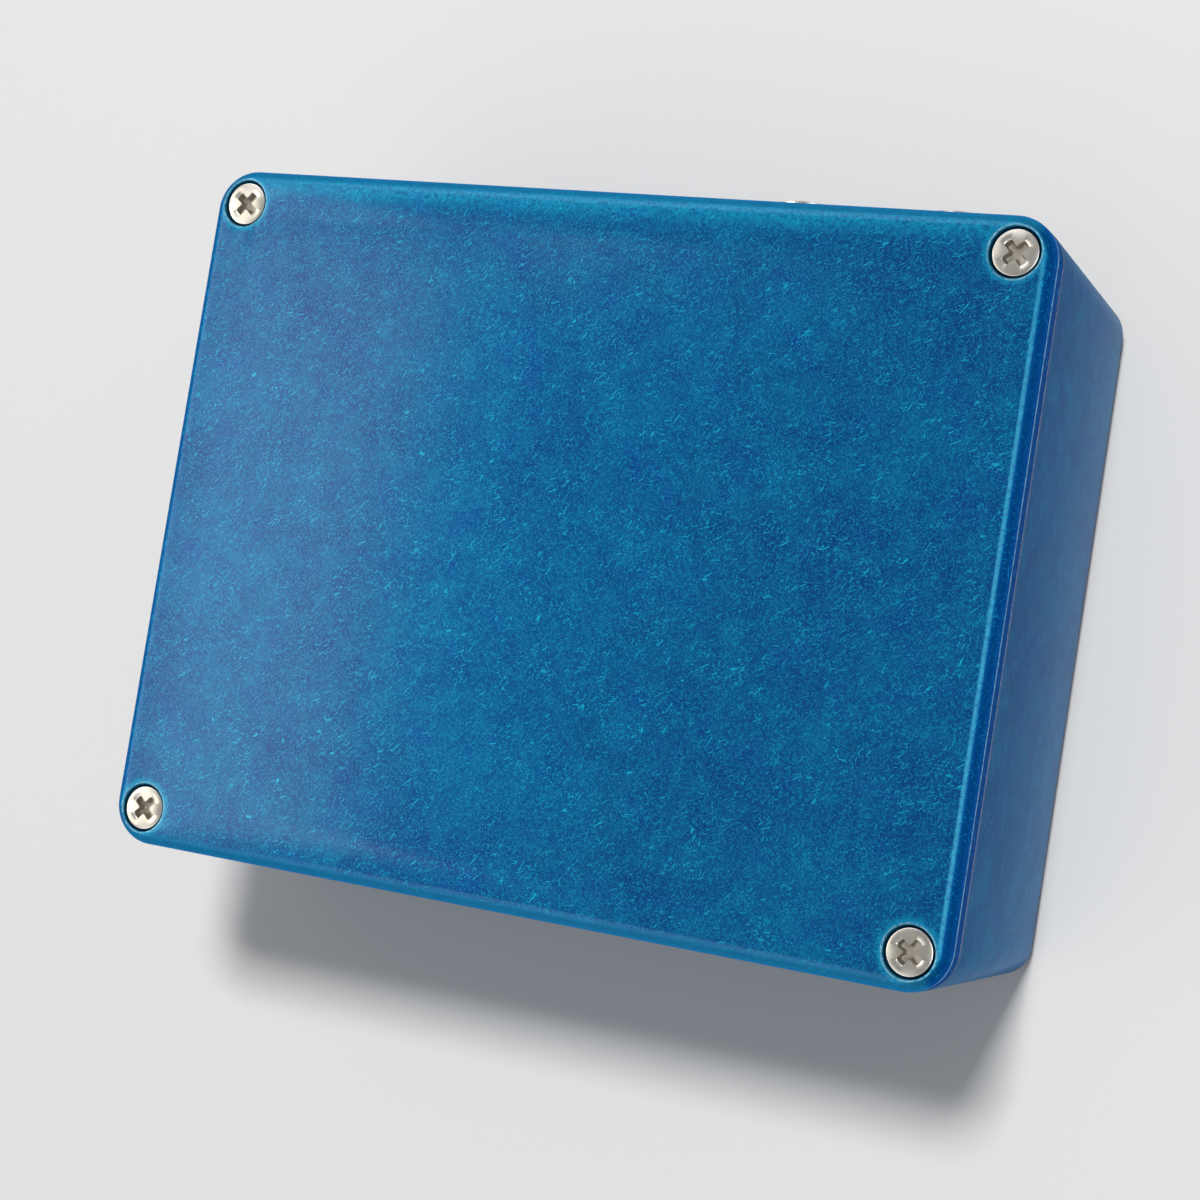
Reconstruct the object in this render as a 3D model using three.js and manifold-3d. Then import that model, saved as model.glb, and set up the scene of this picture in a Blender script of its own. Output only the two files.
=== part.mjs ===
// A single board computer in a die-cast aluminium box, with its cover uppermost.
// Millimetres, +Z up. The origin is the centre of the closed face that the box rests on.
import * as THREE from 'three';
import { mergeVertices } from 'three/addons/utils/BufferGeometryUtils.js';
import Module from 'manifold-3d';

const wasm = await Module();
wasm.setup();

// ---- driving dimensions ----

// the box
const CASE_WIDTH = 119.5;          // along X, at the rim
const CASE_DEPTH = 94;             // along Y, at the rim
const CASE_HEIGHT = 46;            // closed face to cover face
const CORNER_RADIUS = 5.6;
const DRAFT = Math.tan(THREE.MathUtils.degToRad(2));
const WALL = 2.3;
const BASE_FILLET = 2.5;
const COVER_EDGE = 4.45;           // height of the cover's outer edge
const COVER_ROUND = 2;
const COVER_PLATE = 2.6;           // thickness of the cover inside its edge
const RIM_WIDTH = 4;               // thick band round the underside of the cover
const LIP_HEIGHT = 1.6;
const SEAM = 0.3;
const RIM_Z = CASE_HEIGHT - COVER_EDGE - SEAM;
const COVER_Z = CASE_HEIGHT - COVER_EDGE;

// the four cover screws
const SCREW_PITCH_X = 109.6;
const SCREW_PITCH_Y = 84.3;
const HEAD_RADIUS = 2.9;
const HEAD_DEPTH = 2;
const HEAD_SUNK = 0.4;             // how far the head lies below the cover's face
const HEAD_HOLE_RADIUS = 3.2;
const SHANK_RADIUS = 1.6;
const SHANK_LENGTH = 13;
const BOSS_RADIUS = 4.3;
const CROSS_ANGLES = [50, 42, 47, 53];

// gaps
const STACK_GAP = 0.1;             // between flat faces that rest on each other
const FIT_GAP = 0.3;               // round a piece that sits in a hole

// the board and what carries it
const BOARD_LENGTH = 85;
const BOARD_WIDTH = 56;
const BOARD_THICKNESS = 1.6;
const BOARD_LEFT = -54.9;
const BOARD_RIGHT = BOARD_LEFT + BOARD_LENGTH;
const STANDOFF_HEIGHT = 8;
const STANDOFF_ACROSS = 4.5;
const HOLE_INSET = 3.5;
const HOLE_SPAN_X = 58;
const HOLE_SPAN_Y = 49;
const SMALL_SHANK = 1.1;
const BOARD_Z = WALL + STACK_GAP + STANDOFF_HEIGHT + STACK_GAP;
const BOARD_TOP = BOARD_Z + BOARD_THICKNESS;
const PARTS_Z = BOARD_TOP + STACK_GAP;

// sockets that look out through the left wall
const PORT_FACE_X = -58.4;
const SHEET = 0.4;
const ETHERNET = { y: 18, width: 16, length: 21.3, height: 13.5 };
const USB = { y: 0, width: 13.2, length: 17.5, height: 16 };
const VIDEO = { y: -17.5, width: 15, length: 11.5, height: 5.8 };
const PORT_SLACK = 0.45;

// round parts in the rear wall
const PANEL_Z = 23.5;
const JACK_X = 19.2;
const JACK_END_Y = 51.3;
const JACK_RADIUS = 4.6;
const BUTTON_X = 40.3;
const BUTTON_END_Y = 51.2;
const BUTTON_RADIUS = 6;
const CAP_RADIUS = 4.9;

// ---- materials ----

const paint = (name, color, roughness, metalness) =>
  new THREE.MeshStandardMaterial({ name, color, roughness, metalness });

const MATERIAL = {
  blueCasting: () => paint('blue_casting', 0x155f9f, 0.38, 0.85),
  steel: () => paint('steel', 0xc9c5bd, 0.28, 1),
  brass: () => paint('brass', 0xb9974f, 0.35, 1),
  aluminium: () => paint('aluminium', 0xb8bcc0, 0.4, 1),
  tinplate: () => paint('tinplate', 0xbfc2c4, 0.3, 1),
  board: () => paint('board', 0x14522f, 0.5, 0),
  black: () => paint('black_plastic', 0x1a1a1c, 0.5, 0),
  white: () => paint('white_plastic', 0xe2ddcf, 0.5, 0),
  grey: () => paint('grey_pad', 0x9aa0a6, 0.8, 0),
  redLead: () => paint('red_lead', 0xa8201c, 0.5, 0),
  blackLead: () => paint('black_lead', 0x18181a, 0.5, 0),
};

// ---- solids ----

// A closed solid from any closed geometry.
function solid(geometry) {
  const bare = geometry.clone();
  bare.deleteAttribute('normal');
  bare.deleteAttribute('uv');
  const merged = mergeVertices(bare, 1e-5);
  return new wasm.Manifold(new wasm.Mesh({
    numProp: 3,
    vertProperties: new Float32Array(merged.attributes.position.array),
    triVerts: new Uint32Array(merged.index.array),
  }));
}

// A geometry from a closed solid.
function geometryOf(manifold) {
  const mesh = manifold.getMesh();
  const geometry = new THREE.BufferGeometry();
  const stride = mesh.numProp;
  const count = mesh.vertProperties.length / stride;
  const position = new Float32Array(count * 3);
  for (let i = 0; i < count; i += 1) {
    position.set(mesh.vertProperties.subarray(i * stride, i * stride + 3), i * 3);
  }
  geometry.setAttribute('position', new THREE.BufferAttribute(position, 3));
  geometry.setIndex(new THREE.BufferAttribute(new Uint32Array(mesh.triVerts), 1));
  geometry.computeVertexNormals();
  return geometry;
}

// Points of a rounded rectangle, anticlockwise, with the corners as arcs.
function roundedRectangle(width, depth, radius, steps = 6) {
  const points = [];
  const centres = [[1, 1], [-1, 1], [-1, -1], [1, -1]];
  centres.forEach(([sx, sy], corner) => {
    for (let i = 0; i <= steps; i += 1) {
      const angle = (corner + i / steps) * Math.PI / 2;
      points.push(new THREE.Vector2(
        sx * (width / 2 - radius) + radius * Math.cos(angle),
        sy * (depth / 2 - radius) + radius * Math.sin(angle),
      ));
    }
  });
  return points;
}

// A solid lofted through outlines of equal length, from the lowest to the highest.
function loft(levels) {
  const count = levels[0].points.length;
  const position = [];
  const index = [];
  levels.forEach(({ points, z }) => points.forEach((p) => position.push(p.x, p.y, z)));
  for (let level = 0; level < levels.length - 1; level += 1) {
    for (let i = 0; i < count; i += 1) {
      const a = level * count + i;
      const b = level * count + (i + 1) % count;
      index.push(a, b, b + count, a, b + count, a + count);
    }
  }
  const foot = position.length / 3;
  position.push(0, 0, levels[0].z, 0, 0, levels[levels.length - 1].z);
  const last = (levels.length - 1) * count;
  for (let i = 0; i < count; i += 1) {
    const next = (i + 1) % count;
    index.push(foot, next, i, foot + 1, last + i, last + next);
  }
  const geometry = new THREE.BufferGeometry();
  geometry.setAttribute('position', new THREE.Float32BufferAttribute(position, 3));
  geometry.setIndex(index);
  return solid(geometry);
}

// A block between two corners.
function block(low, high) {
  const size = high.map((value, i) => value - low[i]);
  const centre = high.map((value, i) => (value + low[i]) / 2);
  return solid(new THREE.BoxGeometry(...size).translate(...centre));
}

// A round, or many-sided, bar along Z between two heights.
function barZ(x, y, low, high, radius, sides = 24, turn = 0) {
  const bar = new THREE.CylinderGeometry(radius, radius, high - low, sides);
  return solid(bar.rotateX(Math.PI / 2).rotateZ(turn).translate(x, y, (low + high) / 2));
}

// The same along Y.
function barY(x, z, low, high, radius, sides = 24) {
  const bar = new THREE.CylinderGeometry(radius, radius, high - low, sides);
  return solid(bar.translate(x, (low + high) / 2, z));
}

// A turned solid along Z from [radius, height] pairs that start and end on the axis.
function turned(x, y, profile, sides = 24) {
  const points = profile.map(([radius, height]) => new THREE.Vector2(radius, height));
  return solid(new THREE.LatheGeometry(points, sides).rotateX(Math.PI / 2).translate(x, y, 0));
}

// A turned solid along Y from [radius, distance] pairs, distance growing outwards.
function turnedY(x, z, profile, sides = 24) {
  const points = profile.map(([radius, distance]) => new THREE.Vector2(radius, distance));
  return solid(new THREE.LatheGeometry(points, sides).translate(x, 0, z));
}

// Everything in a list joined to the first.
const joined = (first, ...rest) => rest.reduce((sum, next) => sum.add(next), first);

// The first with everything else cut away.
const cut = (first, ...rest) => rest.reduce((left, next) => left.subtract(next), first);

const computer = new THREE.Group();

function place(name, material, shape) {
  const mesh = new THREE.Mesh(geometryOf(shape), material());
  mesh.name = name;
  computer.add(mesh);
}

// ---- places ----

const screwPlaces = [[-1, 1], [1, 1], [-1, -1], [1, -1]]
  .map(([sx, sy]) => [sx * SCREW_PITCH_X / 2, sy * SCREW_PITCH_Y / 2]);

const holeX = [BOARD_RIGHT - HOLE_INSET - HOLE_SPAN_X, BOARD_RIGHT - HOLE_INSET];
const holePlaces = [[holeX[0], 1], [holeX[1], 1], [holeX[0], -1], [holeX[1], -1]]
  .map(([x, sy]) => [x, sy * HOLE_SPAN_Y / 2]);

// Y of the rear wall's outer face at a height.
const wallY = (z) => CASE_DEPTH / 2 - (RIM_Z - z) * DRAFT;

// ---- the box ----

// Outline of the box at a height, drawn in by an inset on every side.
function caseOutline(inset, z, radius = CORNER_RADIUS) {
  const width = CASE_WIDTH - 2 * inset;
  const depth = CASE_DEPTH - 2 * inset;
  return { points: roundedRectangle(width, depth, Math.max(radius - inset, 1)), z };
}

function caseBody() {
  const outer = [];
  const filletSteps = 4;
  for (let i = 0; i <= filletSteps; i += 1) {
    const angle = i / filletSteps * Math.PI / 2;
    const z = BASE_FILLET * (1 - Math.cos(angle));
    const inset = (RIM_Z - z) * DRAFT + BASE_FILLET * (1 - Math.sin(angle));
    outer.push(caseOutline(inset, z));
  }
  outer.push(caseOutline(0, RIM_Z));
  const innerFoot = (RIM_Z - WALL) * DRAFT + WALL;
  const inner = loft([
    caseOutline(innerFoot + 1, WALL),
    caseOutline(innerFoot, WALL + 1),
    caseOutline(WALL - DRAFT, RIM_Z + 1),
  ]);
  const bosses = screwPlaces.map(([x, y]) => barZ(x, y, 0, RIM_Z + 2, BOSS_RADIUS));
  const cavity = cut(inner, ...bosses);
  const screwHoles = screwPlaces.map(([x, y]) =>
    barZ(x, y, RIM_Z - SHANK_LENGTH + 1, RIM_Z + 1, SHANK_RADIUS + FIT_GAP, 16));
  const footHoles = holePlaces.map(([x, y]) => joined(
    barZ(x, y, -1, WALL + 1, SMALL_SHANK + FIT_GAP, 16),
    turned(x, y, [[0, -0.5], [2.75, -0.5], [2.75, 0.25], [1, 2], [0, 2]], 16),
  ));
  const ports = [ETHERNET, USB, VIDEO].map((port) => block(
    [-CASE_WIDTH, port.y - port.width / 2 - PORT_SLACK, PARTS_Z - PORT_SLACK],
    [-CASE_WIDTH / 2 + 6, port.y + port.width / 2 + PORT_SLACK, PARTS_Z + port.height + PORT_SLACK],
  ));
  const wallReach = [CASE_DEPTH / 2 - 8, CASE_DEPTH / 2 + 4];
  const jackHole = barY(JACK_X, PANEL_Z, ...wallReach, JACK_RADIUS + FIT_GAP);
  const buttonHole = barY(BUTTON_X, PANEL_Z, ...wallReach, BUTTON_RADIUS + FIT_GAP);
  return cut(loft(outer), cavity, ...screwHoles, ...footHoles, ...ports, jackHole, buttonHole);
}

function cover() {
  const outer = [caseOutline(0, COVER_Z)];
  const roundSteps = 5;
  for (let i = 0; i <= roundSteps; i += 1) {
    const angle = i / roundSteps * Math.PI / 2;
    const inset = COVER_ROUND * (1 - Math.cos(angle));
    outer.push(caseOutline(inset, CASE_HEIGHT - COVER_ROUND * (1 - Math.sin(angle))));
  }
  const hollow = loft([
    caseOutline(RIM_WIDTH, COVER_Z - LIP_HEIGHT - 1),
    caseOutline(RIM_WIDTH, CASE_HEIGHT - COVER_PLATE),
  ]);
  const lip = cut(
    loft([
      caseOutline(WALL + 0.6, COVER_Z - LIP_HEIGHT),
      caseOutline(WALL + FIT_GAP, COVER_Z + 0.5),
    ]),
    ...screwPlaces.map(([x, y]) => barZ(x, y, 0, COVER_Z, BOSS_RADIUS + FIT_GAP)),
  );
  const pads = screwPlaces.map(([x, y]) => barZ(x, y, COVER_Z, CASE_HEIGHT - 1, BOSS_RADIUS));
  const plate = cut(joined(loft(outer), lip), hollow);
  const headFloor = CASE_HEIGHT - HEAD_SUNK - HEAD_DEPTH;
  const sinks = screwPlaces.map(([x, y]) => turned(x, y, [
    [0, COVER_Z - 2],
    [SHANK_RADIUS + FIT_GAP, COVER_Z - 2],
    [SHANK_RADIUS + FIT_GAP, headFloor - 0.2],
    [HEAD_HOLE_RADIUS, CASE_HEIGHT - HEAD_SUNK - 0.2],
    [HEAD_HOLE_RADIUS, CASE_HEIGHT + 1],
    [0, CASE_HEIGHT + 1],
  ], 28));
  return cut(joined(plate, ...pads.map((pad) => pad.intersect(loft(outer)))), ...sinks);
}

// Two crossed slots for a cross-head driver, tapering from a head's face into it.
// The slots run down from the face where into is -1, and up from it where into is 1.
function crossRecess(x, y, face, into, reach, width, depth, angle) {
  const arm = (turnBy) => {
    const shape = new THREE.CylinderGeometry(reach * Math.SQRT2, reach * 0.8, depth, 4);
    shape.rotateX(-into * Math.PI / 2).rotateZ(Math.PI / 4).scale(1, width / reach / 2, 1);
    return solid(shape.rotateZ(turnBy).translate(x, y, face + into * (depth / 2 - 0.02)));
  };
  const first = THREE.MathUtils.degToRad(angle);
  return arm(first).add(arm(first + Math.PI / 2));
}

function coverScrew([x, y], angle) {
  const top = CASE_HEIGHT - HEAD_SUNK;
  const tip = RIM_Z - SHANK_LENGTH + 2;
  const body = turned(x, y, [
    [0, tip],
    [SHANK_RADIUS * 0.6, tip],
    [SHANK_RADIUS, tip + 1],
    [SHANK_RADIUS, top - HEAD_DEPTH],
    [HEAD_RADIUS, top - 0.3],
    [HEAD_RADIUS, top - 0.05],
    [HEAD_RADIUS - 0.1, top],
    [0, top],
  ], 28);
  return cut(body, crossRecess(x, y, top, -1, HEAD_RADIUS * 0.6, 1, 1.3, angle));
}

place('case_body', MATERIAL.blueCasting, caseBody());
place('cover', MATERIAL.blueCasting, cover());
screwPlaces.forEach((at, i) => {
  place(`cover_screw_${i + 1}`, MATERIAL.steel, coverScrew(at, CROSS_ANGLES[i]));
});

// ---- what carries the board ----

function standoff([x, y]) {
  const foot = WALL + STACK_GAP;
  const hex = barZ(x, y, foot, foot + STANDOFF_HEIGHT, STANDOFF_ACROSS / Math.sqrt(3), 6);
  return cut(hex, barZ(x, y, 0, BOARD_Z + 1, SMALL_SHANK + FIT_GAP, 16));
}

function footScrew([x, y]) {
  const face = 0.15;
  const body = turned(x, y, [
    [0, face], [2.35, face], [2.35, face + 0.25], [SMALL_SHANK, face + 1.5],
    [SMALL_SHANK, WALL + 3], [0, WALL + 3],
  ], 16);
  return cut(body, crossRecess(x, y, face, 1, 1.35, 0.6, 0.9, 45));
}

function boardScrew([x, y]) {
  const seat = BOARD_TOP + STACK_GAP;
  const body = turned(x, y, [
    [0, BOARD_Z - 3.6], [SMALL_SHANK, BOARD_Z - 3.6], [SMALL_SHANK, seat],
    [2.35, seat], [2.35, seat + 0.9], [1.7, seat + 1.55], [0, seat + 1.75],
  ], 16);
  return cut(body, crossRecess(x, y, seat + 1.8, -1, 1.2, 0.6, 1, 45));
}

function circuitBoard() {
  const middle = new THREE.Vector2(BOARD_LEFT + BOARD_LENGTH / 2, 0);
  const points = roundedRectangle(BOARD_LENGTH, BOARD_WIDTH, 3, 4).map((p) => p.add(middle));
  const sheet = loft([{ points, z: BOARD_Z }, { points, z: BOARD_TOP }]);
  const holes = holePlaces.map(([x, y]) => barZ(x, y, BOARD_Z - 1, BOARD_TOP + 1, 1.45, 16));
  return cut(sheet, ...holes);
}

holePlaces.forEach((at, i) => {
  place(`board_standoff_${i + 1}`, MATERIAL.brass, standoff(at));
  place(`foot_screw_${i + 1}`, MATERIAL.steel, footScrew(at));
  place(`board_screw_${i + 1}`, MATERIAL.steel, boardScrew(at));
});
place('circuit_board', MATERIAL.board, circuitBoard());

// ---- sockets on the board ----

// The tin shield round a socket: a box of sheet, open towards the wall.
function socketShield({ y, width, length, height }) {
  const low = [PORT_FACE_X, y - width / 2, PARTS_Z];
  const high = [PORT_FACE_X + length, y + width / 2, PARTS_Z + height];
  const inside = block(
    [low[0] - 1, low[1] + SHEET, low[2] + SHEET],
    [high[0] - SHEET, high[1] - SHEET, high[2] - SHEET],
  );
  return cut(block(low, high), inside);
}

// A block that fills a shield behind a given depth, as the start of its moulding.
function socketBack({ y, width, length, height }, depth) {
  const gap = SHEET + STACK_GAP;
  return block(
    [PORT_FACE_X + depth, y - width / 2 + gap, PARTS_Z + gap],
    [PORT_FACE_X + length - gap, y + width / 2 - gap, PARTS_Z + height - gap],
  );
}

function ethernetMoulding() {
  const { y } = ETHERNET;
  const plug = block(
    [PORT_FACE_X - 1, y - 5.95, PARTS_Z + 3.4],
    [PORT_FACE_X + 14, y + 5.95, PARTS_Z + 10.6],
  );
  const latch = block([PORT_FACE_X - 1, y - 3.1, PARTS_Z + 1.6], [PORT_FACE_X + 10, y + 3.1, PARTS_Z + 4]);
  return cut(socketBack(ETHERNET, 0.3), plug, latch);
}

function usbMoulding() {
  const { y } = USB;
  const middle = block([PORT_FACE_X + 0.3, y - 6, PARTS_Z + 6.2], [PORT_FACE_X + 12, y + 6, PARTS_Z + 9.8]);
  const tongues = [3.4, 12.6].map((z) => block(
    [PORT_FACE_X + 1, y - 5.6, PARTS_Z + z - 1],
    [PORT_FACE_X + 12, y + 5.6, PARTS_Z + z + 0.9],
  ));
  return joined(socketBack(USB, 11), middle, ...tongues);
}

function videoMoulding() {
  const { y } = VIDEO;
  const tongue = block([PORT_FACE_X + 1, y - 5.4, PARTS_Z + 2.3], [PORT_FACE_X + 9, y + 5.4, PARTS_Z + 3.5]);
  return joined(socketBack(VIDEO, 8), tongue);
}

place('ethernet_shield', MATERIAL.tinplate, socketShield(ETHERNET));
place('ethernet_socket', MATERIAL.black, ethernetMoulding());
place('usb_shield', MATERIAL.tinplate, socketShield(USB));
place('usb_socket', MATERIAL.black, usbMoulding());
place('video_shield', MATERIAL.tinplate, socketShield(VIDEO));
place('video_socket', MATERIAL.black, videoMoulding());

// ---- chips and their cooling ----

const CHIP_Z = PARTS_Z;
const PROCESSOR = { x: -5, y: 0, size: 15, height: 1.5 };
const PAD_HEIGHT = 0.5;
const SINK = { size: 25, base: 2, height: 9, fins: 7, fin: 1.2 };

function chip(x, y, width, depth, height) {
  return block([x - width / 2, y - depth / 2, CHIP_Z], [x + width / 2, y + depth / 2, CHIP_Z + height]);
}

function processor() {
  const { x, y, size, height } = PROCESSOR;
  return chip(x, y, size, size, 0.8).add(chip(x, y, size - 3, size - 3, height));
}

function thermalPad() {
  const { x, y, size, height } = PROCESSOR;
  const low = CHIP_Z + height + STACK_GAP;
  const half = size / 2 - 1.2;
  return block([x - half, y - half, low], [x + half, y + half, low + PAD_HEIGHT]);
}

function heatSink() {
  const { x, y, height } = PROCESSOR;
  const half = SINK.size / 2;
  const low = CHIP_Z + height + PAD_HEIGHT + 2 * STACK_GAP;
  const fins = [];
  for (let i = 0; i < SINK.fins; i += 1) {
    const left = x - half + i * (SINK.size - SINK.fin) / (SINK.fins - 1);
    fins.push(block([left, y - half, low + SINK.base / 2], [left + SINK.fin, y + half, low + SINK.height]));
  }
  return joined(block([x - half, y - half, low], [x + half, y + half, low + SINK.base]), ...fins);
}

place('processor', MATERIAL.black, processor());
place('thermal_pad', MATERIAL.grey, thermalPad());
place('heat_sink', MATERIAL.aluminium, heatSink());
place('memory_chip', MATERIAL.black, chip(-5, 18.6, 12, 9.5, 1));
place('network_chip', MATERIAL.black, chip(-29, 12, 7, 7, 0.9));
place('usb_chip', MATERIAL.black, chip(-30, -2, 7, 7, 0.9));
place('power_chip', MATERIAL.black, chip(6, 20, 5, 5, 0.9));
place('power_inductor', MATERIAL.black, chip(17.5, 16.5, 7, 7, 4));
place('bulk_capacitor', MATERIAL.aluminium, turned(10.4, 13.6, [
  [0, CHIP_Z], [2.9, CHIP_Z], [2.9, CHIP_Z + 6.6], [2.5, CHIP_Z + 7], [0, CHIP_Z + 7],
], 20));

// ---- header, clock battery, card and reset button ----

const HEADER_PINS = 20;
const PIN_PITCH = 2.54;
const HEADER_Y = -HOLE_SPAN_Y / 2;

function pinHeader() {
  const middle = (holeX[0] + holeX[1]) / 2;
  const half = HEADER_PINS * PIN_PITCH / 2;
  const strip = block(
    [middle - half, HEADER_Y - PIN_PITCH, CHIP_Z],
    [middle + half, HEADER_Y + PIN_PITCH, CHIP_Z + 2.5],
  );
  const pins = [];
  for (let i = 0; i < HEADER_PINS; i += 1) {
    for (const side of [-1, 1]) {
      const x = middle - half + (i + 0.5) * PIN_PITCH;
      const y = HEADER_Y + side * PIN_PITCH / 2;
      pins.push(block([x - 0.32, y - 0.32, CHIP_Z + 1], [x + 0.32, y + 0.32, CHIP_Z + 8.5]));
    }
  }
  return joined(strip, ...pins);
}

const BATTERY = { x: 16.8, y: -13, radius: 6.25, thickness: 2, base: 1 };

function batteryHolder() {
  const { x, y, radius, thickness, base } = BATTERY;
  const half = radius + 1.1;
  const tray = block([x - half, y - half, CHIP_Z], [x + half, y + half, CHIP_Z + base + thickness]);
  const pocket = barZ(x, y, CHIP_Z + base, CHIP_Z + 9, radius + FIT_GAP, 28);
  const way = block([x - half - 1, y - 3.5, CHIP_Z + base], [x, y + 3.5, CHIP_Z + 9]);
  return cut(tray, pocket, way);
}

function clockBattery() {
  const { x, y, radius, thickness, base } = BATTERY;
  const low = CHIP_Z + base + STACK_GAP;
  return turned(x, y, [
    [0, low], [radius - 0.6, low], [radius - 0.6, low + 0.4], [radius, low + 0.4],
    [radius, low + thickness - 0.2], [radius - 0.2, low + thickness], [0, low + thickness],
  ], 28);
}

const CARD = { y: 4.2, width: 11, length: 15, thickness: 0.8, reach: 2.4 };
const CARD_SOCKET = { length: 14.6, width: 14, height: 1.9 };
const CARD_Z = CHIP_Z + 0.55;

function cardSocket() {
  const low = [BOARD_RIGHT - CARD_SOCKET.length, CARD.y - CARD_SOCKET.width / 2, CHIP_Z];
  const high = [BOARD_RIGHT, CARD.y + CARD_SOCKET.width / 2, CHIP_Z + CARD_SOCKET.height];
  const slot = block(
    [low[0] + 1.4, CARD.y - CARD.width / 2 - FIT_GAP, CARD_Z - 0.2],
    [high[0] + 1, CARD.y + CARD.width / 2 + FIT_GAP, CARD_Z + CARD.thickness + 0.2],
  );
  return cut(block(low, high), slot);
}

function memoryCard() {
  const end = BOARD_RIGHT + CARD.reach;
  const half = CARD.width / 2;
  const corner = 1.2;
  const outline = new THREE.Shape([
    new THREE.Vector2(end, half - 0.5), new THREE.Vector2(end - 0.5, half),
    new THREE.Vector2(end - CARD.length + corner, half),
    new THREE.Vector2(end - CARD.length, half - corner),
    new THREE.Vector2(end - CARD.length, -half),
    new THREE.Vector2(end - 0.5, -half), new THREE.Vector2(end, 0.5 - half),
  ]);
  const sheet = new THREE.ExtrudeGeometry(outline, { depth: CARD.thickness, bevelEnabled: false });
  return solid(sheet.translate(0, CARD.y, CARD_Z));
}

const RESET = { x: 27, y: -15.5, size: 5, height: 3.4, stem: 1.6 };

function resetHousing() {
  const { x, y, size, height, stem } = RESET;
  return cut(chip(x, y, size, size, height), barZ(x, y, CHIP_Z + 0.8, CHIP_Z + 9, stem + 0.15, 20));
}

place('pin_header', MATERIAL.black, pinHeader());
place('battery_holder', MATERIAL.black, batteryHolder());
place('clock_battery', MATERIAL.steel, clockBattery());
place('card_socket', MATERIAL.tinplate, cardSocket());
place('memory_card', MATERIAL.black, memoryCard());
place('reset_switch', MATERIAL.black, resetHousing());
place('reset_dome', MATERIAL.steel, turned(RESET.x, RESET.y, [
  [0, CHIP_Z + 0.9], [RESET.stem - 0.1, CHIP_Z + 0.9], [0.8, CHIP_Z + 1.15], [0, CHIP_Z + 1.2],
], 16));
place('reset_plunger', MATERIAL.white, turned(RESET.x, RESET.y, [
  [0, CHIP_Z + 1.55], [RESET.stem, CHIP_Z + 1.55], [RESET.stem, CHIP_Z + 4.6],
  [RESET.stem - 0.2, CHIP_Z + 4.8], [0, CHIP_Z + 4.8],
], 20));

// ---- power jack in the rear wall ----

const SKEW = 0.5;                  // clears the lean of the drafted wall behind a square flange
const OUTER_Y = wallY(PANEL_Z) + SKEW;
const INNER_Y = wallY(PANEL_Z) - WALL - SKEW;
const JACK_BACK_Y = 32;

// A thin ring along Y.
function ringY(x, z, low, high, outer, inner, sides = 24) {
  return cut(barY(x, z, low, high, outer, sides), barY(x, z, low - 1, high + 1, inner, 24));
}

function jackBushing() {
  const front = JACK_END_Y;
  return cut(
    turnedY(JACK_X, PANEL_Z, [
      [0, INNER_Y - 3], [6.2, INNER_Y - 3], [6.2, INNER_Y], [JACK_RADIUS, INNER_Y],
      [JACK_RADIUS, front - 0.3], [JACK_RADIUS - 0.3, front], [0, front],
    ], 28),
    barY(JACK_X, PANEL_Z, 0, front + 1, 3.9),
  );
}

function jackInsulator() {
  return cut(
    turnedY(JACK_X, PANEL_Z, [
      [0, JACK_BACK_Y], [5.6, JACK_BACK_Y], [5.6, INNER_Y - 3 - FIT_GAP],
      [3.6, INNER_Y - 3 - FIT_GAP], [3.6, JACK_END_Y - 0.5], [0, JACK_END_Y - 0.5],
    ]),
    barY(JACK_X, PANEL_Z, JACK_BACK_Y + 5, JACK_END_Y + 1, 2.9),
    barY(JACK_X, PANEL_Z, 0, JACK_END_Y, 1.05 + 0.15, 16),
  );
}

function jackPin() {
  const front = JACK_END_Y - 1.2;
  return turnedY(JACK_X, PANEL_Z, [
    [0, JACK_BACK_Y - 2.4], [1.05, JACK_BACK_Y - 2.4], [1.05, front - 0.5], [0.6, front], [0, front],
  ], 14);
}

function jackTab() {
  return block(
    [JACK_X - 0.9, JACK_BACK_Y - 3.2, PANEL_Z + 3.2],
    [JACK_X + 0.9, JACK_BACK_Y - FIT_GAP, PANEL_Z + 3.8],
  );
}

place('power_jack_bushing', MATERIAL.steel, jackBushing());
place('power_jack_insulator', MATERIAL.black, jackInsulator());
place('power_jack_pin', MATERIAL.steel, jackPin());
place('power_jack_tab', MATERIAL.brass, jackTab());
place('power_jack_washer', MATERIAL.steel,
  ringY(JACK_X, PANEL_Z, OUTER_Y, OUTER_Y + 0.6, 7.4, JACK_RADIUS + 0.2, 28));
place('power_jack_nut', MATERIAL.steel,
  ringY(JACK_X, PANEL_Z, OUTER_Y + 0.7, OUTER_Y + 3, 7.2, JACK_RADIUS + 0.2, 6));

// ---- power button in the rear wall ----

const FLANGE_Y = OUTER_Y + 2.2;
const BUTTON_BACK_Y = 33;
const CAP_TRAVEL = 2;
const SPRING_RADIUS = 3;
const SPRING_WIRE = 0.35;
const SPRING_TURNS = 5;
const CAP_FOOT_Y = 44.6;
const SPRING_FOOT_Y = 38.4;

function buttonBushing() {
  return cut(
    turnedY(BUTTON_X, PANEL_Z, [
      [0, BUTTON_BACK_Y], [BUTTON_RADIUS, BUTTON_BACK_Y], [BUTTON_RADIUS, OUTER_Y],
      [7, OUTER_Y], [7, FLANGE_Y - 0.6], [6.4, FLANGE_Y], [0, FLANGE_Y],
    ], 28),
    barY(BUTTON_X, PANEL_Z, SPRING_FOOT_Y - 1.6, FLANGE_Y + 1, CAP_RADIUS + 0.2, 28),
    barY(BUTTON_X, PANEL_Z, 0, FLANGE_Y, 4.4),
  );
}

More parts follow.
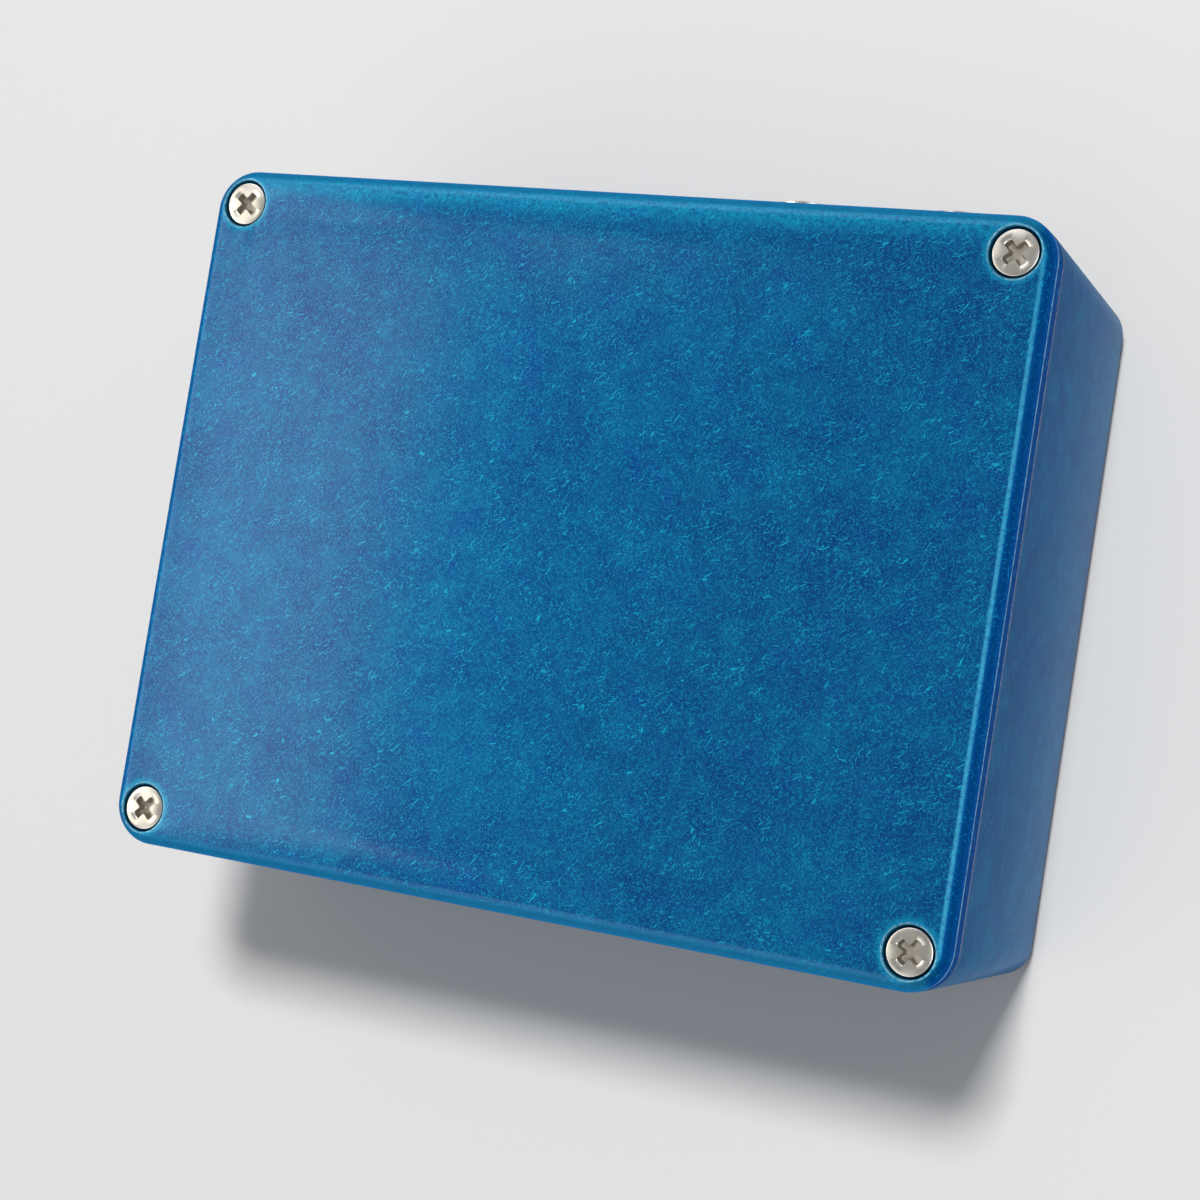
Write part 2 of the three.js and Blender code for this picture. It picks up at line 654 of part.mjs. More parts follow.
function buttonCap() {
  return turnedY(BUTTON_X, PANEL_Z, [
    [0, CAP_FOOT_Y - 4], [1.4, CAP_FOOT_Y - 4], [1.4, CAP_FOOT_Y], [CAP_RADIUS, CAP_FOOT_Y],
    [CAP_RADIUS, BUTTON_END_Y - 0.5], [CAP_RADIUS - 0.5, BUTTON_END_Y], [0, BUTTON_END_Y],
  ], 28);
}

// The return spring: a wire wound on a helix between the contact block and the cap.
function buttonSpring() {
  const low = SPRING_FOOT_Y + SPRING_WIRE + 0.1;
  const high = CAP_FOOT_Y - SPRING_WIRE - 0.1;
  const steps = SPRING_TURNS * 9;
  const points = [];
  for (let i = 0; i <= steps; i += 1) {
    const angle = i / steps * SPRING_TURNS * 2 * Math.PI;
    points.push(new THREE.Vector3(
      BUTTON_X + SPRING_RADIUS * Math.cos(angle),
      low + (high - low) * i / steps,
      PANEL_Z + SPRING_RADIUS * Math.sin(angle),
    ));
  }
  const wire = new THREE.Shape(roundedRectangle(SPRING_WIRE * 2, SPRING_WIRE * 2, SPRING_WIRE * 0.98, 1));
  const path = new THREE.CatmullRomCurve3(points);
  return solid(new THREE.ExtrudeGeometry(wire, { steps, extrudePath: path, bevelEnabled: false }));
}

// The moulded block that closes the bushing and carries the two contact tabs.
function contactBlock() {
  const seat = barY(BUTTON_X, PANEL_Z, SPRING_FOOT_Y - 1.4, SPRING_FOOT_Y, CAP_RADIUS);
  const neck = barY(BUTTON_X, PANEL_Z, BUTTON_BACK_Y - 2, SPRING_FOOT_Y - 1, 4.2);
  return joined(seat, neck);
}

function contactTab(side) {
  const x = BUTTON_X + side * 2;
  return block([x - 0.7, BUTTON_BACK_Y - 5, PANEL_Z - 0.3], [x + 0.7, BUTTON_BACK_Y - 2.1, PANEL_Z + 0.3]);
}

place('power_button_bushing', MATERIAL.steel, buttonBushing());
place('power_button_cap', MATERIAL.steel, buttonCap());
place('power_button_spring', MATERIAL.steel, buttonSpring());
place('power_button_contacts', MATERIAL.black, contactBlock());
place('power_button_tab_1', MATERIAL.brass, contactTab(-1));
place('power_button_tab_2', MATERIAL.brass, contactTab(1));
place('power_button_nut', MATERIAL.steel,
  ringY(BUTTON_X, PANEL_Z, INNER_Y - 2.3, INNER_Y, 8, BUTTON_RADIUS + 0.2, 6));

// ---- leads from the rear wall to the board ----

const POWER_PLUG = { x: 18, y: 24.9, width: 7.4, depth: 5.6 };
const BUTTON_PLUG = { x: 27.2, y: 14.6, width: 4.6, depth: 5.8 };
const PLUG_TOP = CHIP_Z + 6.4;

// A lead's plug, pushed down over its header on the board.
function leadPlug({ x, y, width, depth }) {
  return block([x - width / 2, y - depth / 2, CHIP_Z], [x + width / 2, y + depth / 2, PLUG_TOP]);
}

// An insulated wire through a list of points.
function wire(points, radius) {
  const path = new THREE.CatmullRomCurve3(points.map((p) => new THREE.Vector3(...p)));
  const section = new THREE.Shape(roundedRectangle(radius * 2, radius * 2, radius * 0.98, 1));
  return solid(new THREE.ExtrudeGeometry(section, { steps: 16, extrudePath: path, bevelEnabled: false }));
}

const PIN_STEP = 0.7;              // half the distance between the two wires of a lead
const LEAD_FOOT = PLUG_TOP + 0.3;

// Twin lead from the jack's pin and tab down into the power plug.
function powerLead() {
  const { x, y } = POWER_PLUG;
  const positive = wire([
    [JACK_X, JACK_BACK_Y - 2.9, PANEL_Z], [JACK_X - 0.2, JACK_BACK_Y - 5, PANEL_Z - 0.4],
    [x + PIN_STEP, y + 0.3, PANEL_Z - 2.4], [x + PIN_STEP, y, LEAD_FOOT],
  ], 0.75);
  const negative = wire([
    [JACK_X - 1.7, JACK_BACK_Y - 2, PANEL_Z + 3.5], [JACK_X - 1.9, JACK_BACK_Y - 5, PANEL_Z + 2.6],
    [x - PIN_STEP, y + 0.3, PANEL_Z - 1.4], [x - PIN_STEP, y, LEAD_FOOT],
  ], 0.75);
  return positive.add(negative);
}

// Twin lead from the button's tabs round to the button plug.
function buttonLead() {
  const { x, y } = BUTTON_PLUG;
  const wires = [-1, 1].map((side) => wire([
    [BUTTON_X + side * 2, BUTTON_BACK_Y - 5.3, PANEL_Z],
    [BUTTON_X - 1 + side * 1.2, BUTTON_BACK_Y - 9, PANEL_Z - 0.4],
    [BUTTON_X - 6 + side * PIN_STEP * 0.8, 17.6 - side * PIN_STEP * 0.8, PANEL_Z + 0.4],
    [30.8, y - side * PIN_STEP + 0.4, PANEL_Z - 0.6],
    [x + 0.5, y - side * PIN_STEP, PANEL_Z - 2.6],
    [x, y - side * PIN_STEP, LEAD_FOOT],
  ], 0.75));
  return wires[0].add(wires[1]);
}

place('power_plug', MATERIAL.white, leadPlug(POWER_PLUG));
place('button_plug', MATERIAL.white, leadPlug(BUTTON_PLUG));
place('power_lead', MATERIAL.redLead, powerLead());
place('button_lead', MATERIAL.blackLead, buttonLead());

export default computer;
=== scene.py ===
import math

import bpy
import numpy as np
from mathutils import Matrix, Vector, geometry


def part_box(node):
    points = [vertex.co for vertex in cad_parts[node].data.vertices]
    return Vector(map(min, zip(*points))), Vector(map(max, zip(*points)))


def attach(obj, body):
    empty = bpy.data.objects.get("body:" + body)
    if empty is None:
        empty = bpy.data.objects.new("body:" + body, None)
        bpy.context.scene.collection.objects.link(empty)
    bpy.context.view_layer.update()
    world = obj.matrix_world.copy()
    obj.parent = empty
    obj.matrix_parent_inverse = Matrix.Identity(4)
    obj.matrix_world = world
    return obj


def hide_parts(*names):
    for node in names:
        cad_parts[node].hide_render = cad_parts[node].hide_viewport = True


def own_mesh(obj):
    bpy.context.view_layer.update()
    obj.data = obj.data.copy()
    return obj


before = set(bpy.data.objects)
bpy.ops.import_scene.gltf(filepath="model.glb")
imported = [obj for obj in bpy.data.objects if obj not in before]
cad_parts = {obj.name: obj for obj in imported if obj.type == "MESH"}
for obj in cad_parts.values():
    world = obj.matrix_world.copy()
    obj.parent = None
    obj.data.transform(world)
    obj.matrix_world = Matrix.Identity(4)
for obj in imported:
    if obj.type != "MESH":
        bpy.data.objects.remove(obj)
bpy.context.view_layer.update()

# ---- Camera ----
# A long lens looks down on the cover from the right, a little above the front edge,
# turned so that the box leans to the left in the frame.

camera_data = bpy.data.cameras.new("camera")
camera_data.lens = 74.41
camera_data.sensor_width = 36.0
camera_data.clip_start = 0.02
camera = bpy.data.objects.new("camera", camera_data)
camera.location = (0.1397, -0.0231, 0.33)
camera.rotation_euler = [math.radians(angle) for angle in (7.287, 24.032, 9.942)]
bpy.context.scene.collection.objects.link(camera)
bpy.context.scene.camera = camera

# ---- Floor ----
# A wide sheet of matt, nearly white paper under the box.

FLOOR_REACH = 3.0
FLOOR_COLOUR = (0.80, 0.80, 0.80, 1)

floor_mesh = bpy.data.meshes.new("paper_floor")
floor_corners = [(-FLOOR_REACH, -FLOOR_REACH, 0), (FLOOR_REACH, -FLOOR_REACH, 0),
                 (FLOOR_REACH, FLOOR_REACH, 0), (-FLOOR_REACH, FLOOR_REACH, 0)]
floor_mesh.from_pydata(floor_corners, [], [(0, 1, 2, 3)])
floor = bpy.data.objects.new("paper_floor", floor_mesh)
bpy.context.scene.collection.objects.link(floor)

paper = bpy.data.materials.new("paper")
paper.use_nodes = True
paper_shader = paper.node_tree.nodes["Principled BSDF"]
paper_shader.inputs["Base Color"].default_value = FLOOR_COLOUR
paper_shader.inputs["Roughness"].default_value = 0.9
paper_shader.inputs["Specular IOR Level"].default_value = 0.1
floor_mesh.materials.append(paper)

# ---- Light ----
# Soft daylight all round, a broad window behind the box that throws its shadow to the front,
# and a low window on the left whose haze lies on that end of the cover.

sky = bpy.data.worlds.new("studio_air")
sky.use_nodes = True
sky.node_tree.nodes["Background"].inputs["Color"].default_value = (0.96, 0.98, 1.0, 1)
sky.node_tree.nodes["Background"].inputs["Strength"].default_value = 0.24
bpy.context.scene.world = sky
bpy.context.scene.view_settings.view_transform = "Standard"


def window(name, place, size, power, colour, matt=True, gloss=True):
    """A square area light turned to face the origin, seen by matt surfaces, by shiny ones, or by
    both."""
    data = bpy.data.lights.new(name, "AREA")
    data.size = size
    data.energy = power
    data.color = colour
    lamp = bpy.data.objects.new(name, data)
    lamp.location = place
    lamp.rotation_euler = (-Vector(place)).to_track_quat("-Z", "Y").to_euler()
    lamp.visible_diffuse = matt
    lamp.visible_glossy = gloss
    bpy.context.scene.collection.objects.link(lamp)


window("rear_window", (0.22, 0.68, 1.62), 0.30, 23.5, (1.0, 0.99, 0.97), gloss=False)
window("front_fill", (-0.5, -0.9, 1.3), 1.8, 4.0, (1.0, 0.99, 0.97), gloss=False)
window("left_window", (-0.76, 0.02, 0.62), 0.6, 3.8, (1.0, 0.96, 0.86), matt=False)
window("rear_glow", (-0.38, 0.66, 0.76), 0.6, 2.5, (1.0, 1.0, 1.0), matt=False)
window("front_glow", (-0.38, -0.62, 0.76), 0.6, 1.9, (1.0, 1.0, 1.0), matt=False)
window("right_glow", (0.42, 0.0, 0.74), 0.4, 2.0, (1.0, 1.0, 1.0), matt=False)

# ---- Blue finish ----
# Die-cast aluminium tumbled until it is dull and scratched, then sprayed with clear blue lacquer.
# The metal shows through, paler where the tumbling wore edges and in short scratches.

MM = 0.001


def add(tree, kind, inputs=None, **settings):
    """A node with its settings, and its sockets linked or set."""
    made = tree.nodes.new(kind)
    for name, value in settings.items():
        setattr(made, name, value)
    for key, value in (inputs or {}).items():
        if isinstance(value, bpy.types.NodeSocket):
            tree.links.new(value, made.inputs[key])
        else:
            made.inputs[key].default_value = value
    return made


def reckon(tree, operation, *values):
    """The output of one Math node."""
    made = add(tree, "ShaderNodeMath", dict(enumerate(values)), operation=operation)
    return made.outputs[0]


def ramp_of(tree, value, low, high, to_low=0.0, to_high=1.0, smooth=True):
    """A value carried from one range to another and held at its ends."""
    made = add(tree, "ShaderNodeMapRange", {0: value, 1: low, 2: high, 3: to_low, 4: to_high},
               interpolation_type="SMOOTHSTEP" if smooth else "LINEAR")
    return made.outputs[0]


def blend_of(tree, share, first, second, kind="MIX"):
    """Two colours mixed by a share."""
    made = add(tree, "ShaderNodeMix", {0: share, 6: first, 7: second}, data_type="RGBA",
               blend_type=kind)
    return made.outputs[2]


def noise_of(tree, place, scale, detail=2.0, rough=0.5, warp=0.0):
    """Noise at a place, scale in turns per metre."""
    made = add(tree, "ShaderNodeTexNoise", {"Vector": place, "Scale": scale, "Detail": detail,
                                            "Roughness": rough, "Distortion": warp})
    return made.outputs[0]


def new_group(name, numbers, results):
    """A shader node group with number inputs, and outputs that are numbers or a colour."""
    group = bpy.data.node_groups.new(name, "ShaderNodeTree")
    for label, value in numbers.items():
        socket = group.interface.new_socket(name=label, in_out="INPUT",
                                            socket_type="NodeSocketFloat")
        socket.default_value = value
    for label in results:
        kind = "NodeSocketColor" if label == "Colour" else "NodeSocketFloat"
        group.interface.new_socket(name=label, in_out="OUTPUT", socket_type=kind)
    return group, group.nodes.new("NodeGroupInput"), group.nodes.new("NodeGroupOutput")


def use_group(tree, group, **numbers):
    """A group placed in a material with its own values."""
    made = tree.nodes.new("ShaderNodeGroup")
    made.node_tree = group
    for label, value in numbers.items():
        made.inputs[label.replace("_", " ")].default_value = value
    return made.outputs


def scratch_group():
    """Short straight scratches. Each cell of a cell pattern holds one: the place is taken from
    the cell's own point, turned by the cell's own angle, and is dark beyond a half length along
    and a half width across. The pattern lies in the plane that the surface faces."""
    group, given, out = new_group("scratches", {
        "Scale": 900.0, "Length": 0.35, "Width": 0.05, "Share": 0.5, "Lean": 0.0, "Spread": 3.1,
        "Shift": 0.0}, ["Mask"])
    coordinate = add(group, "ShaderNodeTexCoord")
    place = add(group, "ShaderNodeSeparateXYZ", {0: coordinate.outputs["Object"]}).outputs
    facing = add(group, "ShaderNodeSeparateXYZ", {0: coordinate.outputs["Normal"]}).outputs
    side = [reckon(group, "ABSOLUTE", facing[axis]) for axis in range(3)]
    faces_x = reckon(group, "MULTIPLY", reckon(group, "GREATER_THAN", side[0], 0.7),
                     reckon(group, "GREATER_THAN", side[0], side[1]))
    faces_y = reckon(group, "SUBTRACT", reckon(group, "GREATER_THAN", side[1], 0.7), faces_x)
    flat = add(group, "ShaderNodeCombineXYZ", {0: place[0], 1: place[1]}).outputs[0]
    end = add(group, "ShaderNodeCombineXYZ", {0: place[1], 1: place[2]}).outputs[0]
    front = add(group, "ShaderNodeCombineXYZ", {0: place[0], 1: place[2]}).outputs[0]
    pick = add(group, "ShaderNodeMix", {0: faces_x, 4: flat, 5: end}, data_type="VECTOR")
    pick = add(group, "ShaderNodeMix", {0: faces_y, 4: pick.outputs[1], 5: front},
               data_type="VECTOR")
    scaled = add(group, "ShaderNodeVectorMath", {0: pick.outputs[1],
                                                 "Scale": given.outputs["Scale"]},
                 operation="SCALE").outputs[0]
    shifted = add(group, "ShaderNodeVectorMath", {0: scaled}, operation="ADD")
    group.links.new(given.outputs["Shift"], shifted.inputs[1])
    cells = add(group, "ShaderNodeTexVoronoi", {"Vector": shifted.outputs[0], "Scale": 1.0},
                voronoi_dimensions="2D")
    draw = add(group, "ShaderNodeSeparateColor", {0: cells.outputs["Color"]}).outputs
    local = add(group, "ShaderNodeVectorMath", {0: shifted.outputs[0],
                                                1: cells.outputs["Position"]},
                operation="SUBTRACT").outputs[0]
    angle = reckon(group, "MULTIPLY_ADD", draw[0], given.outputs["Spread"],
                   given.outputs["Lean"])
    turned_place = add(group, "ShaderNodeVectorRotate", {"Vector": local, "Angle": angle},
                       rotation_type="Z_AXIS").outputs[0]
    along_across = add(group, "ShaderNodeSeparateXYZ", {0: turned_place}).outputs
    beyond = reckon(group, "SUBTRACT", reckon(group, "ABSOLUTE", along_across[0]),
                    reckon(group, "MULTIPLY", given.outputs["Length"], draw[1]))
    beyond = reckon(group, "MAXIMUM", beyond, 0.0)
    away = reckon(group, "SQRT", reckon(group, "ADD", reckon(group, "POWER", beyond, 2.0),
                                        reckon(group, "POWER", along_across[1], 2.0)))
    line = ramp_of(group, away, given.outputs["Width"], 0.0)
    present = reckon(group, "LESS_THAN", draw[2], given.outputs["Share"])
    group.links.new(reckon(group, "MULTIPLY", line, present), out.inputs["Mask"])
    return group


def edge_group():
    """How far a point lies inside a rounded rectangle centred on the origin, in millimetres, and
    how far it lies from the nearest of four screw axes."""
    group, given, out = new_group("edge_distance", {
        "Half Width": 59.75, "Half Depth": 47.0, "Corner": 5.6, "Screw X": 54.8,
        "Screw Y": 42.15}, ["Inside", "From Screw"])
    coordinate = add(group, "ShaderNodeTexCoord")
    place = add(group, "ShaderNodeSeparateXYZ", {0: coordinate.outputs["Object"]}).outputs
    x = reckon(group, "MULTIPLY", reckon(group, "ABSOLUTE", place[0]), 1 / MM)
    y = reckon(group, "MULTIPLY", reckon(group, "ABSOLUTE", place[1]), 1 / MM)
    corner = given.outputs["Corner"]
    past_x = reckon(group, "ADD", reckon(group, "SUBTRACT", x, given.outputs["Half Width"]), corner)
    past_y = reckon(group, "ADD", reckon(group, "SUBTRACT", y, given.outputs["Half Depth"]), corner)
    round_x = reckon(group, "MAXIMUM", past_x, 0.0)
    round_y = reckon(group, "MAXIMUM", past_y, 0.0)
    outside = reckon(group, "SQRT", reckon(group, "ADD", reckon(group, "POWER", round_x, 2.0),
                                           reckon(group, "POWER", round_y, 2.0)))
    within = reckon(group, "MINIMUM", reckon(group, "MAXIMUM", past_x, past_y), 0.0)
    inside = reckon(group, "SUBTRACT", reckon(group, "SUBTRACT", corner, outside), within)
    group.links.new(inside, out.inputs["Inside"])
    from_x = reckon(group, "SUBTRACT", x, given.outputs["Screw X"])
    from_y = reckon(group, "SUBTRACT", y, given.outputs["Screw Y"])
    away = reckon(group, "SQRT", reckon(group, "ADD", reckon(group, "POWER", from_x, 2.0),
                                        reckon(group, "POWER", from_y, 2.0)))
    group.links.new(away, out.inputs["From Screw"])
    return group


scratches = scratch_group()
edge_distance = edge_group()

DEEP_BLUE = (0.0015, 0.050, 0.21, 1)
SEA_BLUE = (0.002, 0.145, 0.33, 1)
BRIGHT_BLUE = (0.010, 0.50, 0.76, 1)
VIOLET_BLUE = (0.004, 0.055, 0.29, 1)
SCRATCH_SETS = [
    dict(Scale=430.0, Length=0.30, Width=0.034, Share=0.22, Lean=1.9, Spread=0.9, Shift=0.0),
    dict(Scale=640.0, Length=0.34, Width=0.048, Share=0.4, Lean=2.0, Spread=1.1, Shift=7.3),
    dict(Scale=980.0, Length=0.36, Width=0.075, Share=0.55, Lean=1.7, Spread=1.4, Shift=3.1),
    dict(Scale=1500.0, Length=0.30, Width=0.10, Share=0.5, Spread=3.14, Shift=5.7),
    dict(Scale=2000.0, Length=0.06, Width=0.20, Share=0.4, Spread=3.14, Shift=9.2),
    dict(Scale=350.0, Length=0.10, Width=0.08, Share=0.16, Lean=1.6, Spread=1.6, Shift=2.2)]
SCRATCH_STRENGTHS = (1.0, 0.95, 0.75, 0.6, 0.95, 0.8)


def tumbled_group():
    """Blue lacquer over tumbled metal. Two sizes of noise cloud the blue, a third leans it to
    violet, a fine cell pattern makes grains of random brightness, and six sets of scratches and
    nicks, thicker in some places, show the bare metal."""
    group, given, out = new_group("tumbled_blue", {"Flecks": 1.0},
                                  ["Colour", "Marks", "Grain", "Speck", "Patch"])
    place = add(group, "ShaderNodeTexCoord").outputs["Object"]
    flecks = given.outputs["Flecks"]
    cloud = noise_of(group, place, 42.0, 3.0, 0.62, 0.4)
    patch = noise_of(group, place, 260.0, 3.0, 0.6, 0.8)
    hue = noise_of(group, place, 150.0, 2.0, 0.5, 1.0)
    speck = noise_of(group, place, 1700.0, 3.0, 0.8)
    cells = add(group, "ShaderNodeTexVoronoi", {"Vector": place, "Scale": 6600.0})
    grain = add(group, "ShaderNodeSeparateColor", {0: cells.outputs["Color"]}).outputs[0]
    tone = reckon(group, "ADD", ramp_of(group, cloud, 0.26, 0.74), ramp_of(group, patch, 0.3, 0.75))
    colour = blend_of(group, reckon(group, "MULTIPLY", tone, 0.5), DEEP_BLUE, SEA_BLUE)
    colour = blend_of(group, ramp_of(group, hue, 0.52, 0.72, 0.0, 0.45), colour, VIOLET_BLUE)
    glitter = reckon(group, "MULTIPLY", ramp_of(group, grain, 0.45, 1.0, 0.0, 0.26), flecks)
    colour = blend_of(group, glitter, colour, BRIGHT_BLUE)
    dark = reckon(group, "ADD", ramp_of(group, grain, 0.35, 0.0, 0.0, 0.28),
                  ramp_of(group, speck, 0.5, 0.3, 0.0, 0.45))
    colour = blend_of(group, reckon(group, "MULTIPLY", dark, flecks), colour, DEEP_BLUE)
    marks = 0.0
    for scratch_set, strength in zip(SCRATCH_SETS, SCRATCH_STRENGTHS):
        mask = use_group(group, scratches, **scratch_set)["Mask"]
        marks = reckon(group, "MAXIMUM", marks, reckon(group, "MULTIPLY", mask, strength))
    flurry = ramp_of(group, noise_of(group, place, 330.0, 2.0, 0.6, 1.0), 0.40, 0.64, 0.30, 1.0)
    marks = reckon(group, "MULTIPLY", reckon(group, "MULTIPLY", marks, flurry), flecks)
    for label, value in (("Colour", colour), ("Marks", marks), ("Grain", grain),
                         ("Speck", speck), ("Patch", patch)):
        group.links.new(value, out.inputs[label])
    return group


tumbled_blue = tumbled_group()


def rim_group():
    """A worn line along an outer edge at a height in millimetres, broken by fine specks."""
    group, given, out = new_group("worn_rim", {"Height": 0.0, "Inside": 0.0, "Speck": 0.5}, ["Mask"])
    place = add(group, "ShaderNodeTexCoord").outputs["Object"]
    up = reckon(group, "MULTIPLY", add(group, "ShaderNodeSeparateXYZ", {0: place}).outputs[2], 1 / MM)
    off = reckon(group, "ABSOLUTE", reckon(group, "SUBTRACT", up, given.outputs["Height"]))
    near = reckon(group, "MULTIPLY", ramp_of(group, off, 0.28, 0.10),
                  ramp_of(group, given.outputs["Inside"], 0.6, 0.3))
    broken = ramp_of(group, given.outputs["Speck"], 0.36, 0.56, 0.3, 0.95)
    group.links.new(reckon(group, "MULTIPLY", near, broken), out.inputs["Mask"])
    return group


worn_rim = rim_group()
BARE_RIM = (0.40, 0.66, 0.74, 1)


def blue_finish(name, flecks, coat_weight, specular_tint):
    """A material with the tumbled blue finish, and the sockets that its edges are drawn from."""
    material = bpy.data.materials.new(name)
    material.use_nodes = True
    tree = material.node_tree
    shader = tree.nodes["Principled BSDF"]
    shader.inputs["Metallic"].default_value = 1.0
    shader.inputs["Coat Weight"].default_value = coat_weight
    shader.inputs["Coat Roughness"].default_value = 0.18
    shader.inputs["Specular Tint"].default_value = specular_tint
    finish = use_group(tree, tumbled_blue, Flecks=flecks)
    rough = reckon(tree, "ADD", ramp_of(tree, finish["Grain"], 0.0, 1.0, 0.50, 0.60),
                   reckon(tree, "MULTIPLY", finish["Marks"], -0.10))
    tree.links.new(rough, shader.inputs["Roughness"])
    relief = reckon(tree, "ADD", reckon(tree, "MULTIPLY", finish["Grain"], 0.25),
                    reckon(tree, "MULTIPLY", finish["Marks"], 0.8))
    bump = add(tree, "ShaderNodeBump", {"Strength": 0.5, "Distance": 0.00004, "Height": relief})
    tree.links.new(bump.outputs[0], shader.inputs["Normal"])
    return material, finish


def wear_rim(tree, colour, height, edge, finish, bare):
    """The colour with a line worn to a bare tint at a height."""
    rim = tree.nodes.new("ShaderNodeGroup")
    rim.node_tree = worn_rim
    rim.inputs["Height"].default_value = height
    tree.links.new(edge["Inside"], rim.inputs["Inside"])
    tree.links.new(finish["Speck"], rim.inputs["Speck"])
    return blend_of(tree, rim.outputs["Mask"], colour, bare)


# ---- Cover ----
# A flat aluminium casting that closes the box. Its edge is rounded, a lip under it drops inside
# the walls, and a sink for a screw head is cut through each corner pad.


def box_of(node):
    """A CAD node's lowest and highest corners, in millimetres."""
    return [np.array(corner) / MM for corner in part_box(node)]


def centre_of(node):
    """The middle of a CAD node, in millimetres."""
    low, high = box_of(node)
    return (low + high) / 2


def middle_top(node):
    """The middle of a CAD node in plan, and its top."""
    middle, top = centre_of(node), box_of(node)[1]
    return middle[0], middle[1], top[2]


cover_low, cover_high = box_of("cover")
HALF_WIDTH = cover_high[0]
HALF_DEPTH = cover_high[1]
TOP = cover_high[2]
CORNER = 5.6
COVER_FOOT = TOP - 4.45
EDGE_ROUND = 2.0
LIP_FOOT = cover_low[2]
PLATE_UNDER = TOP - 2.6
BITE = 4.6
HEAD_HOLE = 3.2
SINK_ROUND = 0.28
SCREW_HOLE = 1.9
SCREW_X, SCREW_Y = centre_of("cover_screw_2")[:2]
SCREW_PLACES = [(-SCREW_X, SCREW_Y), (SCREW_X, SCREW_Y), (-SCREW_X, -SCREW_Y), (SCREW_X, -SCREW_Y)]
CORNER_STEPS = 12
CORNER_SIGNS = np.array([(1, 1), (-1, 1), (-1, -1), (1, -1)])


def rounded_loop(half_x, half_y, radius, z, steps=CORNER_STEPS):
    """A rounded rectangle at a height: in each corner the arc centre + r (cos t, sin t) over a
    quarter turn."""
    turn = (np.arange(4)[:, None] + np.linspace(0, 1, steps + 1)[None, :]) * math.pi / 2
    centre = CORNER_SIGNS * (half_x - radius, half_y - radius)
    x = centre[:, :1] + radius * np.cos(turn)
    y = centre[:, 1:] + radius * np.sin(turn)
    return np.stack([x.ravel(), y.ravel(), np.full(x.size, z)], 1)


def bitten_loop(half_x, half_y, bite, z, steps=CORNER_STEPS):
    """A rectangle whose corners are bitten away by circles round the screw axes. Each bite runs
    from where its circle leaves one side, round past the middle of the box, to the other."""
    start = math.atan2(-math.sqrt(bite ** 2 - (half_x - SCREW_X) ** 2), half_x - SCREW_X)
    end = math.atan2(half_y - SCREW_Y, -math.sqrt(bite ** 2 - (half_y - SCREW_Y) ** 2))
    turn = np.linspace(start, end - 2 * math.pi, steps + 1)
    x = SCREW_X + bite * np.cos(turn)
    y = SCREW_Y + bite * np.sin(turn)
    quarters = [(x, y), (-x[::-1], y[::-1]), (-x, -y), (x[::-1], -y[::-1])]
    loop = np.concatenate([np.stack(quarter, 1) for quarter in quarters])
    return np.column_stack([loop, np.full(len(loop), z)])


def circle_loop(centre, radius, z, steps=48):
    """A circle at a height: centre + r (cos t, sin t)."""
    turn = np.arange(steps) / steps * 2 * math.pi
    return np.stack([centre[0] + radius * np.cos(turn), centre[1] + radius * np.sin(turn),
                     np.full(steps, z)], 1)


